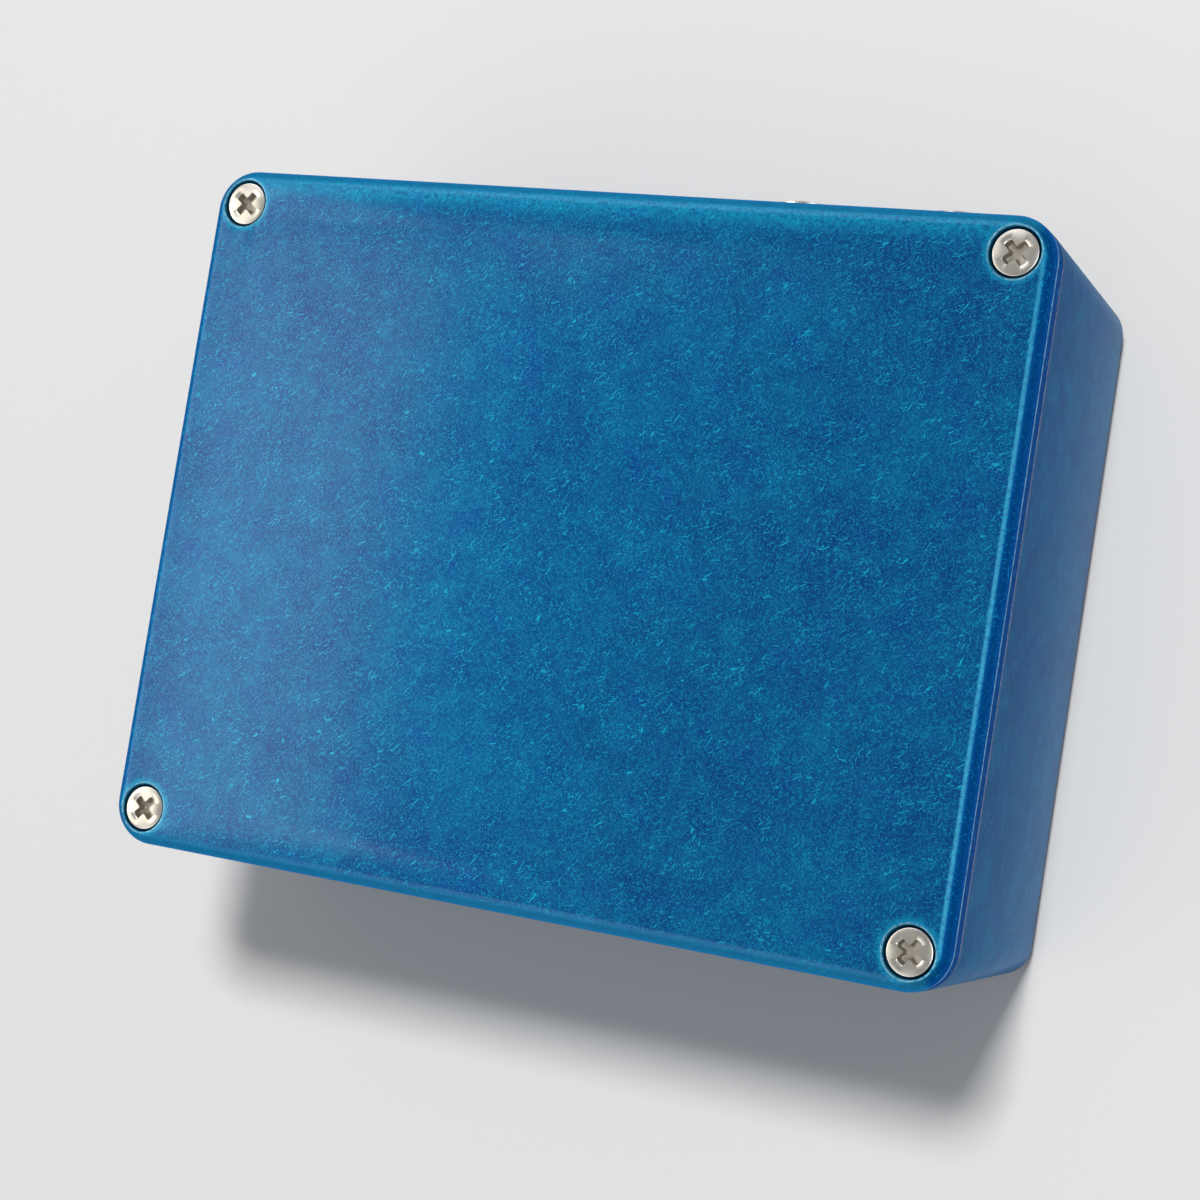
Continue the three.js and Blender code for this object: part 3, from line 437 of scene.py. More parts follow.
class Skin:
    """A closed surface in millimetres, gathered from loops of points, walls between neighbouring
    loops and flat fills inside them."""

    def __init__(self):
        self.points = np.zeros((0, 3))
        self.faces = []

    def loop(self, points):
        """Adds a loop's points and gives their numbers."""
        start = len(self.points)
        self.points = np.concatenate([self.points, points])
        return np.arange(start, len(self.points))

    def wall(self, loops, without=()):
        """Four-sided faces between each loop and the next, but for the columns left out."""
        kept = np.setdiff1d(np.arange(len(loops[0])), without)
        for first, second in zip(loops, loops[1:]):
            corners = [first, np.roll(first, -1), np.roll(second, -1), second]
            self.faces += np.stack(corners, 1)[kept].tolist()

    def fill(self, loops, facing, between=()):
        """Triangles over the region inside the first loop and outside the others, seen from the
        side it faces, with any points that lie between the loops."""
        order = np.concatenate([*loops, *between])
        facing = np.array(facing, float)
        side = np.roll(facing, 1)
        flat = self.points[order] @ np.stack([side, np.cross(facing, side)], 1)
        ends = np.cumsum([len(loop) for loop in loops])
        edges = [(i, i + 1) for i in range(ends[-1]) if i + 1 not in ends]
        edges += [(end - 1, end - len(loop)) for end, loop in zip(ends, loops)]
        found = geometry.delaunay_2d_cdt([Vector(point) for point in flat], edges, [], 1, 1e-7)
        source = np.array([names[0] for names in found[3]])
        faces = source[np.array(found[2])]
        middle = flat[faces].mean(1)[:, None, :]
        start, end = [flat[np.array(edges)[:, i]][None, :, :] for i in (0, 1)]
        past = (start[..., 1] > middle[..., 1]) != (end[..., 1] > middle[..., 1])
        rise = np.where(past, end[..., 1] - start[..., 1], 1)
        reach = (end[..., 0] - start[..., 0]) * (middle[..., 1] - start[..., 1]) / rise
        crossed = (past & (middle[..., 0] < start[..., 0] + reach)).sum(1)
        self.faces += order[faces[crossed % 2 == 1]].tolist()

    def take(self, other, place=(0, 0, 0), axis="Z"):
        """Adds another skin, carried to a place with its +Z along an axis."""
        across = {"Z": np.eye(3), "-Z": np.diag([1, -1, -1]), "Y": np.eye(3)[[2, 0, 1]],
                  "-Y": np.array([[1, 0, 0], [0, 0, 1], [0, -1, 0]]), "X": np.eye(3)[[1, 2, 0]],
                  "-X": np.array([[0, 0, 1], [0, 1, 0], [-1, 0, 0]])}[axis]
        start = len(self.points)
        self.loop(other.points @ across + np.array(place))
        self.faces += [[start + i for i in face] for face in other.faces]
        return self

    def piece(self, name, material, body, slot, *nodes):
        """The finished piece, riding on its body in place of its CAD nodes."""
        mesh = bpy.data.meshes.new(name)
        mesh.from_pydata(self.points * MM, [], self.faces)
        mesh.shade_smooth()
        mesh.set_sharp_from_angle(angle=math.radians(32))
        mesh.materials.append(material)
        made = bpy.data.objects.new(name, mesh)
        bpy.context.scene.collection.objects.link(made)
        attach(made, body)
        if nodes:
            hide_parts(*nodes)
        return made


def arc(radius, start, end, steps):
    """Points of an arc about the origin, angles in degrees."""
    turn = np.radians(np.linspace(start, end, steps + 1))
    return radius * np.cos(turn), radius * np.sin(turn)


def cover_height(x, y):
    """The height of the cover's face: flat, and near the edge z = top - R + sqrt(R^2 - s^2),
    where s is how far the point lies inside the last R of the edge."""
    past = np.abs(np.stack([x, y])) - np.array([[HALF_WIDTH - CORNER], [HALF_DEPTH - CORNER]])
    inside = CORNER - np.hypot(*np.maximum(past, 0)) - np.minimum(past.max(0), 0)
    short = np.clip(EDGE_ROUND - inside, 0, EDGE_ROUND)
    return TOP - EDGE_ROUND + np.sqrt(EDGE_ROUND ** 2 - short ** 2)


def sink_loops(skin, place):
    """A screw's sink: its mouth follows the face's height and is broken by a small round."""
    across, down = arc(SINK_ROUND, 90, 0, 4)
    mouth = circle_loop(place, HEAD_HOLE + SINK_ROUND, 0, 64)
    height = cover_height(mouth[:, 0], mouth[:, 1])
    loops = []
    for reach, rise in zip(across, down):
        points = circle_loop(place, HEAD_HOLE + SINK_ROUND - reach, 0, 64)
        points[:, 2] = height - SINK_ROUND + rise
        loops.append(skin.loop(points))
    for radius, z in ((HEAD_HOLE, TOP - 1.2), (SCREW_HOLE, TOP - 2.7), (SCREW_HOLE, COVER_FOOT)):
        loops.append(skin.loop(circle_loop(place, radius, z, 64)))
    return loops


def cover_skin():
    """Rounded edge from the seam up to the face, sinks down through it, and the lip below."""
    skin = Skin()
    edge = [(0.2, COVER_FOOT), (0.06, COVER_FOOT + 0.06), (0.0, COVER_FOOT + 0.2)]
    out, up = arc(EDGE_ROUND, 0, 36, 5)
    edge += list(zip(EDGE_ROUND - out, TOP - EDGE_ROUND + up))
    outer = [skin.loop(rounded_loop(HALF_WIDTH - inset, HALF_DEPTH - inset,
                                    max(CORNER - inset, 0.5), z)) for inset, z in edge]
    skin.wall(outer)
    sinks = [sink_loops(skin, place) for place in SCREW_PLACES]
    for loops in sinks:
        skin.wall(loops)
    rows = []
    reach = np.tile(CORNER + np.arange(0.5, 5.5, 0.5), 4)
    sign_x, sign_y = np.repeat(CORNER_SIGNS, 10, 0).T
    for inset in EDGE_ROUND - EDGE_ROUND * np.cos(np.radians([44, 52, 60, 68, 76, 84, 90, 102])):
        row = rounded_loop(HALF_WIDTH - inset, HALF_DEPTH - inset, CORNER - inset, TOP)
        ends = [np.stack([sign_x * (HALF_WIDTH - inset), sign_y * (HALF_DEPTH - reach), 0 * reach], 1),
                np.stack([sign_x * (HALF_WIDTH - reach), sign_y * (HALF_DEPTH - inset), 0 * reach], 1)]
        row = np.concatenate([row, *ends])
        clear = [np.hypot(row[:, 0] - x, row[:, 1] - y) for x, y in SCREW_PLACES]
        row = row[np.min(clear, 0) > HEAD_HOLE + SINK_ROUND + 0.1]
        row[:, 2] = cover_height(row[:, 0], row[:, 1])
        rows.append(skin.loop(row))
    skin.fill([outer[-1]] + [loops[0] for loops in sinks], (0, 0, 1), rows)
    lip = [(2.6, COVER_FOOT), (2.75, LIP_FOOT + 0.2), (2.95, LIP_FOOT), (3.8, LIP_FOOT),
           (4.0, LIP_FOOT + 0.2), (4.0, PLATE_UNDER)]
    bite_step = [0, 0.02, 0.2, 0.6, 0.8, 0.8]
    lips = [skin.loop(bitten_loop(HALF_WIDTH - inset, HALF_DEPTH - inset, BITE + more, z))
            for (inset, z), more in zip(lip, bite_step)]
    skin.wall(lips[::-1])
    skin.fill([outer[0], lips[0]] + [loops[-1] for loops in sinks], (0, 0, -1))
    skin.fill([lips[-1]], (0, 0, -1))
    return skin


# Painted light on the cover's rounded edge: a blue for each side, paler at the rear and front ends,
# darker on the right.
LEFT_FLANK_PAINTED_LIGHT = (0.003, 0.17, 0.46, 1)
END_FLANK_PAINTED_LIGHT = (0.03, 0.32, 0.60, 1)
RIGHT_FLANK_PAINTED_SHADE = (0.001, 0.10, 0.40, 1)
# Painted highlight along the right edge's round.
STREAK_HIGHLIGHT_BLUE = (0.025, 0.40, 0.60, 1)
# Painted shade on the cover's side below its round.
SIDE_PAINTED_SHADE = (0.006, 0.075, 0.22, 1)


def cover_look():
    """The tumbled blue, with a paler cloudy band along the rear edge, a haze round each sink, painted
    light on the rounded edge in a blue for each side, painted shade on the side below the round,
    a painted highlight streak where the right edge begins to turn, a worn line where its round
    ends, and a thin bare lip round each sink."""
    material, finish = blue_finish("cover_blue", 1.0, 0.40, (0.10, 0.40, 0.90, 1))
    tree = material.node_tree
    shader = tree.nodes["Principled BSDF"]
    part = add(tree, "ShaderNodeTexCoord").outputs["Object"]
    x, y, z = [reckon(tree, "MULTIPLY", value, 1 / MM)
               for value in add(tree, "ShaderNodeSeparateXYZ", {0: part}).outputs]
    edge = use_group(tree, edge_distance)
    speck, patch = finish["Speck"], finish["Patch"]
    ragged = reckon(tree, "MULTIPLY", reckon(tree, "SUBTRACT", patch, 0.5), 3.5)
    frayed = reckon(tree, "MULTIPLY", reckon(tree, "SUBTRACT", speck, 0.5), 2.2)
    from_rear = reckon(tree, "ADD", reckon(tree, "SUBTRACT", HALF_DEPTH, y), ragged)
    band = reckon(tree, "MULTIPLY", ramp_of(tree, from_rear, 4.8, 1.6, 0.0, 0.42),
                  ramp_of(tree, speck, 0.34, 0.62, 0.25, 1.0))
    from_sink = reckon(tree, "ADD", edge["From Screw"], frayed)
    haze = ramp_of(tree, from_sink, HEAD_HOLE + 1.1, HEAD_HOLE + 0.4, 0.0, 0.35)
    colour = blend_of(tree, reckon(tree, "MAXIMUM", band, haze), finish["Colour"], BRIGHT_BLUE)
    right = ramp_of(tree, x, HALF_WIDTH - 3.2, HALF_WIDTH - 1.6)
    flank = ramp_of(tree, edge["Inside"], 2.0, 0.4, 0.0, 0.85)
    rear = ramp_of(tree, reckon(tree, "ABSOLUTE", y), HALF_DEPTH - 3.2, HALF_DEPTH - 1.6)
    # painted light: the rounded edge takes the blue of its side
    flank_painted_light = blend_of(tree, right, blend_of(tree, rear, LEFT_FLANK_PAINTED_LIGHT, END_FLANK_PAINTED_LIGHT), RIGHT_FLANK_PAINTED_SHADE)
    colour = blend_of(tree, flank, colour, flank_painted_light)
    # painted shade: the side below the round is tinted darker than the round above it
    below_round = ramp_of(tree, z, TOP - EDGE_ROUND - 0.1, TOP - EDGE_ROUND - 0.4, 0.0, 0.8)
    colour = blend_of(tree, below_round, colour, SIDE_PAINTED_SHADE)
    # painted highlight: a bright line where the right edge begins to turn, broken by specks
    off_streak = reckon(tree, "ABSOLUTE", reckon(tree, "SUBTRACT", edge["Inside"], 1.3))
    streak = reckon(tree, "MULTIPLY", ramp_of(tree, off_streak, 0.40, 0.10, 0.0, 0.7), right)
    streak = reckon(tree, "MULTIPLY", streak, ramp_of(tree, speck, 0.3, 0.6, 0.35, 1.0))
    colour = blend_of(tree, streak, colour, STREAK_HIGHLIGHT_BLUE)
    colour = blend_of(tree, finish["Marks"], colour, BRIGHT_BLUE)
    colour = wear_rim(tree, colour, TOP - EDGE_ROUND - 0.1, edge, finish, BARE_RIM)
    off_lip = reckon(tree, "ABSOLUTE", reckon(tree, "SUBTRACT", edge["From Screw"],
                                              HEAD_HOLE + SINK_ROUND - 0.08))
    lip = reckon(tree, "MULTIPLY", ramp_of(tree, off_lip, 0.2, 0.06, 0.0, 0.5),
                 ramp_of(tree, speck, 0.35, 0.6))
    tree.links.new(blend_of(tree, lip, colour, BARE_RIM), shader.inputs["Base Color"])
    coat = ramp_of(tree, edge["Inside"], 2.0, 0.8, 0.40, 0.04)
    tree.links.new(coat, shader.inputs["Coat Weight"])
    return material


cover_blue = cover_look()
cover_skin().piece("lid", cover_blue, "cover", "blue_casting", "cover")

# ---- Case body ----
# The die-cast box: walls that lean out towards the rim so that it leaves its mould, a filleted
# closed face, and a boss in each corner that is bored for a cover screw.

RIM = box_of("case_body")[1][2]
LEAN = math.tan(math.radians(2))
WALL = 2.3
FILLET = 2.5
BOSS = 4.3
BOSS_BORE = 1.9
BORE_DEPTH = 12
FOOT_HOLE = 1.4
FOOT_PLACES = [tuple(centre_of(f"foot_screw_{number}")[:2]) for number in range(1, 5)]
PORT_SLACK = 0.45
PORT_CORNER = 0.7
JACK_HOLE = 4.9
BUTTON_HOLE = 6.3
PORTS = ["ethernet_shield", "usb_shield", "video_shield"]


def lean_in(z):
    """How far the outer wall stands in from the rim at a height."""
    return (RIM - z) * LEAN


def port_loop(node, depth_in):
    """A port's opening as a rounded rectangle on the left wall, a depth in from its outside."""
    low, high = box_of(node)
    half_y = (high[1] - low[1]) / 2 + PORT_SLACK
    half_z = (high[2] - low[2]) / 2 + PORT_SLACK
    flat = rounded_loop(half_y, half_z, PORT_CORNER, 0, 3)
    y = (low[1] + high[1]) / 2 + flat[:, 0]
    z = (low[2] + high[2]) / 2 + flat[:, 1]
    return np.stack([-(HALF_WIDTH - lean_in(z)) + depth_in, y, z], 1)


def round_loop(centre, radius, depth_in, steps=48):
    """A round opening on the rear wall, a depth in from its outside."""
    turn = np.arange(steps) / steps * 2 * math.pi
    x = centre[0] + radius * np.cos(turn)
    z = centre[2] + radius * np.sin(turn)
    return np.stack([x, HALF_DEPTH - lean_in(z) - depth_in, z], 1)


def body_skin():
    """Outer and inner skins of the box, joined across the rim and through every opening."""
    skin = Skin()
    out, up = arc(FILLET, 270, 360, 8)
    profile = [(FILLET + 0.6, 0)] + list(zip(FILLET - out, FILLET + up))
    levels = [(inset + lean_in(z), z) for inset, z in profile]
    levels += [(lean_in(RIM - 0.25), RIM - 0.25), (0.08, RIM - 0.08), (0.25, RIM)]
    outer = [skin.loop(rounded_loop(HALF_WIDTH - inset, HALF_DEPTH - inset,
                                    max(CORNER - inset, 0.6), z)) for inset, z in levels]
    inner_levels = [(WALL + 0.15, RIM), (WALL, RIM - 0.15), (WALL + lean_in(WALL + 1), WALL + 1),
                    (WALL + lean_in(WALL) + 0.3, WALL + 0.3), (WALL + lean_in(WALL) + 1, WALL)]
    bites = [BOSS, BOSS, BOSS, BOSS + 0.3, BOSS + 1]
    inner = [skin.loop(bitten_loop(HALF_WIDTH - inset, HALF_DEPTH - inset, bite, z))
             for (inset, z), bite in zip(inner_levels, bites)]
    quarter = CORNER_STEPS + 1
    rear_column, left_column = quarter - 1, 2 * quarter - 1
    wall_top, wall_foot = len(outer) - 3, len(outer) - 4
    skin.wall(outer[:wall_foot + 1])
    skin.wall(outer[wall_foot:wall_top + 1], [rear_column, left_column])
    skin.wall(outer[wall_top:])
    skin.wall(inner[:2])
    skin.wall(inner[1:3], [rear_column, left_column])
    skin.wall(inner[2:])
    port_skins = [[skin.loop(port_loop(node, depth)) for depth in (0, WALL)] for node in PORTS]
    rounds = [(centre_of("power_jack_bushing"), JACK_HOLE),
              (centre_of("power_button_bushing"), BUTTON_HOLE)]
    round_skins = [[skin.loop(round_loop(centre, radius, depth)) for depth in (0, WALL)]
                   for centre, radius in rounds]
    for column, openings, facing in ((left_column, port_skins, (-1, 0, 0)),
                                     (rear_column, round_skins, (0, 1, 0))):
        after = column + 1
        foot, top = outer[wall_foot], outer[wall_top]
        panel = np.array([foot[column], foot[after], top[after], top[column]])
        skin.fill([panel] + [pair[0] for pair in openings], facing)
        foot, top = inner[2], inner[1]
        panel = np.array([foot[column], foot[after], top[after], top[column]])
        skin.fill([panel] + [pair[1] for pair in openings], [-value for value in facing])
        for pair in openings:
            sides = skin.points[pair[0]] - skin.points[pair[0]].mean(0)
            step = np.roll(sides, -1, 0) - sides
            inward = skin.points[pair[1]] - skin.points[pair[0]]
            faces_middle = (np.cross(step, inward) * sides).sum() < 0
            skin.wall(pair if faces_middle else pair[::-1])
    bore_levels = [(BOSS_BORE + 0.3, RIM), (BOSS_BORE, RIM - 0.3), (BOSS_BORE, RIM - BORE_DEPTH)]
    bores = [[skin.loop(circle_loop(place, radius, z, 32)) for radius, z in bore_levels]
             for place in SCREW_PLACES]
    for loops in bores:
        skin.wall(loops)
        skin.fill([loops[-1]], (0, 0, 1))
    skin.fill([outer[-1], inner[0]] + [loops[0] for loops in bores], (0, 0, 1))
    foot_levels = [(FOOT_HOLE, WALL), (FOOT_HOLE, 1.6), (2.65, 0.35), (2.75, 0.0)]
    holes = [[skin.loop(circle_loop(place, radius, z, 32)) for radius, z in foot_levels]
             for place in FOOT_PLACES]
    for loops in holes:
        skin.wall(loops)
    skin.fill([inner[-1]] + [loops[0] for loops in holes], (0, 0, 1))
    skin.fill([outer[0]] + [loops[-1] for loops in holes], (0, 0, -1))
    return skin


RIM_TINT = (0.13, 0.17, 0.30, 1)


def body_look():
    """The tumbled blue, smoother on the walls, worn along the rim."""
    material, finish = blue_finish("body_blue", 0.35, 0.30, (0.45, 0.75, 1.0, 1))
    tree = material.node_tree
    colour = blend_of(tree, finish["Marks"], finish["Colour"], BRIGHT_BLUE)
    colour = wear_rim(tree, colour, RIM - 0.1, use_group(tree, edge_distance), finish, RIM_TINT)
    tree.links.new(colour, tree.nodes["Principled BSDF"].inputs["Base Color"])
    return material


body_blue = body_look()
body_skin().piece("die_cast_box", body_blue, "case", "blue_casting", "case_body")

# ---- Cover screws ----
# Flat-head machine screws of nickel-plated steel, pressed and turned, with a punched cross.
# They are driven home through the cover's pads into the tapped bosses.


def turned(profile, steps=48):
    """A solid of revolution about +Z from (radius, height) pairs that rise up its outside. It is
    closed to the axis at an end of radius nought, or joined back to its start."""
    skin = Skin()
    loops = [skin.loop(circle_loop((0, 0), radius, z, steps)) for radius, z in profile if radius]
    skin.wall(loops)
    if profile[0][0] and profile[-1][0]:
        skin.wall([loops[-1], loops[0]])
    for loop, (radius, z), up in ((loops[0], profile[0], False), (loops[-1], profile[-1], True)):
        if not radius:
            cap(skin, loop, z, up)
    return skin


def cap(skin, loop, z, up):
    """A fan of triangles from a loop to the point on its axis at a height."""
    middle = skin.loop([(*skin.points[loop].mean(0)[:2], z)])[0]
    for first, second in zip(loop, np.roll(loop, -1)):
        skin.faces.append([first, second, middle] if up else [second, first, middle])


def cross_loop(reach, half_width, flare, turn_by, z, steps=96):
    """The outline of a cross-head recess in polar form. Each flank is a straight line that
    flares outward, r = w / (|sin| - k |cos|), the larger of the two bars is taken with a rounded
    inner corner, and the arms end on a circle."""
    turn = np.arange(steps) / steps * 2 * math.pi
    over, along = np.abs(np.sin(turn)), np.abs(np.cos(turn))
    bars = [half_width / np.maximum(over - flare * along, 0.02),
            half_width / np.maximum(along - flare * over, 0.02)]
    radius = (bars[0] ** 3 + bars[1] ** 3) ** (1 / 3)
    radius = (radius ** -9 + float(reach) ** -9) ** (-1 / 9)
    angle = turn + math.radians(turn_by)
    return np.stack([radius * np.cos(angle), radius * np.sin(angle), np.full(steps, z)], 1)


def thread(radius, low, high, pitch, steps=24):
    """Loops up a threaded shank: r = R - 0.5 P |2 f - 1|, f being the fraction of a pitch P gone
    by at that height and turn. The thread fades out at its upper end."""
    loops = []
    turn = np.arange(steps) / steps
    for z in np.arange(low, high, pitch / 6):
        phase = (z / pitch - turn) % 1
        depth = 0.5 * pitch * np.abs(2 * phase - 1)
        fade = min(1, (high - z) / pitch)
        reach = radius - depth * fade
        angle = turn * 2 * math.pi
        loops.append(np.stack([reach * np.cos(angle), reach * np.sin(angle),
                               np.full(steps, z)], 1))
    return loops


def screw_skin(head, shank, cross, turn_by, tip, pitch):
    """A screw with its head's face at nought and +Z up: head outline as (radius, height) pairs
    from the shank to the rim of the face, a punched cross given as its reach, half the width of
    its arms and its depth, and a threaded shank."""
    skin = Skin()
    reach, half_width, depth = cross
    rim = [skin.loop(circle_loop((0, 0), radius, z, 96)) for radius, z in head]
    skin.wall(rim)
    flare = 0.1
    sinks = [(1.09, 0), (1.0, -0.09), (0.95, -0.5 * depth), (0.86, -0.85 * depth),
             (0.6, -0.96 * depth)]
    floor = head[-1][1]
    recess = [skin.loop(cross_loop(reach * share, half_width * share, flare, turn_by, floor + z))
              for share, z in sinks]
    skin.wall(recess)
    cap(skin, recess[-1], floor - depth, True)
    skin.fill([rim[-1], recess[0]], (0, 0, 1))
    under = head[0][1]
    neck = [skin.loop(points) for points in thread(shank, tip + 0.8, under - 0.6, pitch)]
    foot = skin.loop(circle_loop((0, 0), shank * 0.6, tip, 24))
    skin.wall([foot] + neck)
    cap(skin, foot, tip, False)
    collar = skin.loop(circle_loop((0, 0), shank * 0.92, under - 0.4, 24))
    top = skin.loop(circle_loop((0, 0), shank, under, 24))
    skin.wall([neck[-1], collar, top])
    skin.fill([rim[0], top], (0, 0, -1))
    return skin


def grain_group():
    """Two sizes of noise at the given turns per metre: soft clouds, and a fine grain or pits."""
    group, given, out = new_group("cloud_and_grain", {"Cloud Scale": 900.0, "Grain Scale": 6000.0},
                                  ["Cloud", "Grain"])
    place = add(group, "ShaderNodeTexCoord").outputs["Object"]
    for label, detail in (("Cloud", 3.0), ("Grain", 2.0)):
        noise = noise_of(group, place, given.outputs[f"{label} Scale"], detail, 0.65)
        group.links.new(noise, out.inputs[label])
    return group


cloud_and_grain = grain_group()
RECESS_PAINTED_SHADE = (0.48, 0.44, 0.38, 1)
RIM_PAINTED_HIGHLIGHT = (1.0, 0.97, 0.92, 1)


def metal(name, colour, rough, worn=0.25, relief=0.4, face=None):
    """Bare or plated metal: clouds and fine pits in its colour and sheen, and hairline scratches
    that catch the light. With a face's height given, the rims just below the face carry a
    painted highlight, and the recess is rougher and carries painted shade."""
    material = bpy.data.materials.new(name)
    material.use_nodes = True
    tree = material.node_tree
    shader = tree.nodes["Principled BSDF"]
    cloud, pits = use_group(tree, cloud_and_grain)
    lines = use_group(tree, scratches, Scale=1500.0, Length=0.45, Width=0.035, Share=0.7,
                      Spread=6.28)["Mask"]
    dull = tuple(value * 0.62 for value in colour[:3]) + (1,)
    bright = tuple(min(1, value * 1.25) for value in colour[:3]) + (1,)
    tint = blend_of(tree, ramp_of(tree, cloud, 0.35, 0.75, 0.0, worn * 1.6), colour, dull)
    tint = blend_of(tree, reckon(tree, "MULTIPLY", lines, min(0.6, 4 * worn)), tint, bright)
    pitted = ramp_of(tree, pits, 0.3, 0.7, rough - 0.2 * relief, rough + 0.2 * relief)
    shade = reckon(tree, "ADD", pitted, reckon(tree, "MULTIPLY", cloud, worn * 0.3))
    if face:
        up = add(tree, "ShaderNodeTexCoord").outputs["Object"]
        up = reckon(tree, "MULTIPLY", add(tree, "ShaderNodeSeparateXYZ", {0: up}).outputs[2], 1 / MM)
        # painted highlight: the rims just below the face are tinted near white
        edge = ramp_of(tree, up, face - 0.005, face - 0.03, 0.0, 0.8)
        tint = blend_of(tree, edge, tint, RIM_PAINTED_HIGHLIGHT)
        # painted shade: the recess is tinted a darker grey, and it is also made rougher
        recess = ramp_of(tree, up, face - 0.10, face - 0.2)
        tint = blend_of(tree, recess, tint, RECESS_PAINTED_SHADE)
        shade = reckon(tree, "ADD", shade, reckon(tree, "MULTIPLY", recess, 0.2))
    tree.links.new(tint, shader.inputs["Base Color"])
    tree.links.new(shade, shader.inputs["Roughness"])
    shader.inputs["Metallic"].default_value = 1.0
    bump = add(tree, "ShaderNodeBump", {"Strength": relief, "Distance": 0.00002,
                                        "Height": reckon(tree, "SUBTRACT", pits, lines)})
    tree.links.new(bump.outputs[0], shader.inputs["Normal"])
    return material


screw_low, screw_high = box_of("cover_screw_1")
HEAD_FACE = screw_high[2]
head_nickel = metal("screw_nickel", (0.56, 0.535, 0.48, 1), 0.34, 0.03, 0.03, HEAD_FACE)
HEAD_RADIUS = (screw_high[0] - screw_low[0]) / 2
HEAD_DEPTH = 2.0
SCREW_LENGTH = screw_high[2] - screw_low[2]
SHANK_RADIUS = 1.6
HEAD_CROSS = (1.76, 0.40, 1.3)
COVER_HEAD = [(SHANK_RADIUS, -HEAD_DEPTH), (HEAD_RADIUS, -0.32), (HEAD_RADIUS, -0.12),
              (HEAD_RADIUS - 0.04, -0.04), (HEAD_RADIUS - 0.14, 0)]
CROSS_TURNS = (50, 42, 47, 53)
for number, turn_by in enumerate(CROSS_TURNS, 1):
    node = f"cover_screw_{number}"
    screw = screw_skin(COVER_HEAD, SHANK_RADIUS, HEAD_CROSS, turn_by, -SCREW_LENGTH, 0.8)
    screw = Skin().take(screw, middle_top(node))
    screw.piece(f"lid_screw_{number}", head_nickel, "cover", "steel", node)

# ---- Small screws ----
# Zinc-plated steel: countersunk ones hold the standoffs to the closed face, pan-headed ones hold
# the board on the standoffs. All have a punched cross.

zinc = metal("zinc_plate", (0.66, 0.67, 0.66, 1), 0.30, 0.15, 0.3)
FOOT_HEAD = [(1.1, -1.35), (2.3, -0.25), (2.35, -0.15), (2.33, -0.05), (2.25, 0)]
PAN_HEAD = [(1.1, -1.75), (2.2, -1.75), (2.33, -1.65), (2.35, -1.3), (2.3, -0.85), (2.1, -0.45),
            (1.75, -0.15), (1.4, 0)]
SMALL_SHANK = 1.1
SMALL_PITCH = 0.5
for number, place in enumerate(FOOT_PLACES, 1):
    node = f"foot_screw_{number}"
    low, high = [corner[2] for corner in box_of(node)]
    screw = screw_skin(FOOT_HEAD, SMALL_SHANK, (1.25, 0.3, 0.9), 20 * number, low - high,
                       SMALL_PITCH)
    screw = Skin().take(screw, (*place, low), "-Z")
    screw.piece(f"base_screw_{number}", zinc, "case", "steel", node)
    node = f"board_screw_{number}"
    low, high = [corner[2] for corner in box_of(node)]
    screw = screw_skin(PAN_HEAD, SMALL_SHANK, (1.2, 0.3, 0.9), 37 * number, low - high,
                       SMALL_PITCH)
    screw = Skin().take(screw, (*place, high))
    screw.piece(f"pan_screw_{number}", zinc, "case", "steel", node)

# ---- Standoffs ----
# Turned hexagonal brass pillars, tapped through, with both ends chamfered.

brass = metal("turned_brass", (0.72, 0.50, 0.20, 1), 0.28, 0.2, 0.3)


def hexagonal(across, low, high, bore, steps=72):
    """A hexagonal bar or nut about +Z with a bore. Its side stands at r = a / cos t from the axis,
    t being the turn from the middle of the nearest flat. Each end's corners are cut by a cone, so
    the edge falls away from the end face with the distance beyond the flats."""
    skin = Skin()
    turn = np.arange(steps) / steps * 2 * math.pi
    reach = across / 2 / np.cos((turn + math.pi / 6) % (math.pi / 3) - math.pi / 6)
    flats = across / 2 * 0.97
    rims = []
    for end, inward in ((low, 1), (high, -1)):
        edge = end + inward * (reach - flats) * 0.45
        rims.append(np.stack([reach * np.cos(turn), reach * np.sin(turn), edge], 1))
    profile = [(bore, high - 0.25), (bore, low + 0.25), (bore + 0.25, low), (flats, low)]
    loops = [skin.loop(circle_loop((0, 0), radius, z, steps)) for radius, z in profile]
    loops += [skin.loop(rims[0]), skin.loop(rims[1])]
    loops += [skin.loop(circle_loop((0, 0), radius, high, steps)) for radius in (flats, bore + 0.25)]
    skin.wall(loops + [loops[0]])
    return skin


for number, place in enumerate(FOOT_PLACES, 1):
    node = f"board_standoff_{number}"
    low, high = [corner[2] for corner in box_of(node)]
    pillar = Skin().take(hexagonal(4.5, low, high, 1.25), (*place, 0))
    pillar.piece(f"pillar_{number}", brass, "case", "brass", node)

# ---- Circuit board ----
# Glass-fibre board under a green mask, with tinned rings round its holes, fine copper tracks
# that show through the mask, and plated vias.

board_low, board_high = box_of("circuit_board")
BOARD_MIDDLE = (board_low + board_high) / 2
BOARD_CORNER = 3
BOARD_HOLE = 1.45


def board_skin():
    """A sheet with rounded corners, bored for its four screws."""
    skin = Skin()
    half = (board_high - board_low) / 2
    levels = [(0.08, board_low[2]), (0, board_low[2] + 0.08), (0, board_high[2] - 0.08),
              (0.08, board_high[2])]
    sides = [skin.loop(rounded_loop(half[0] - inset, half[1] - inset, BOARD_CORNER - inset, z)
                       + [*BOARD_MIDDLE[:2], 0]) for inset, z in levels]
    skin.wall(sides)
    ends = (board_high[2], board_low[2])
    bores = [[skin.loop(circle_loop(place, BOARD_HOLE, z, 32)) for z in ends]
             for place in FOOT_PLACES]
    for pair in bores:
        skin.wall(pair)
    skin.fill([sides[-1]] + [pair[0] for pair in bores], (0, 0, 1))
    skin.fill([sides[0]] + [pair[1] for pair in bores], (0, 0, -1))
    return skin


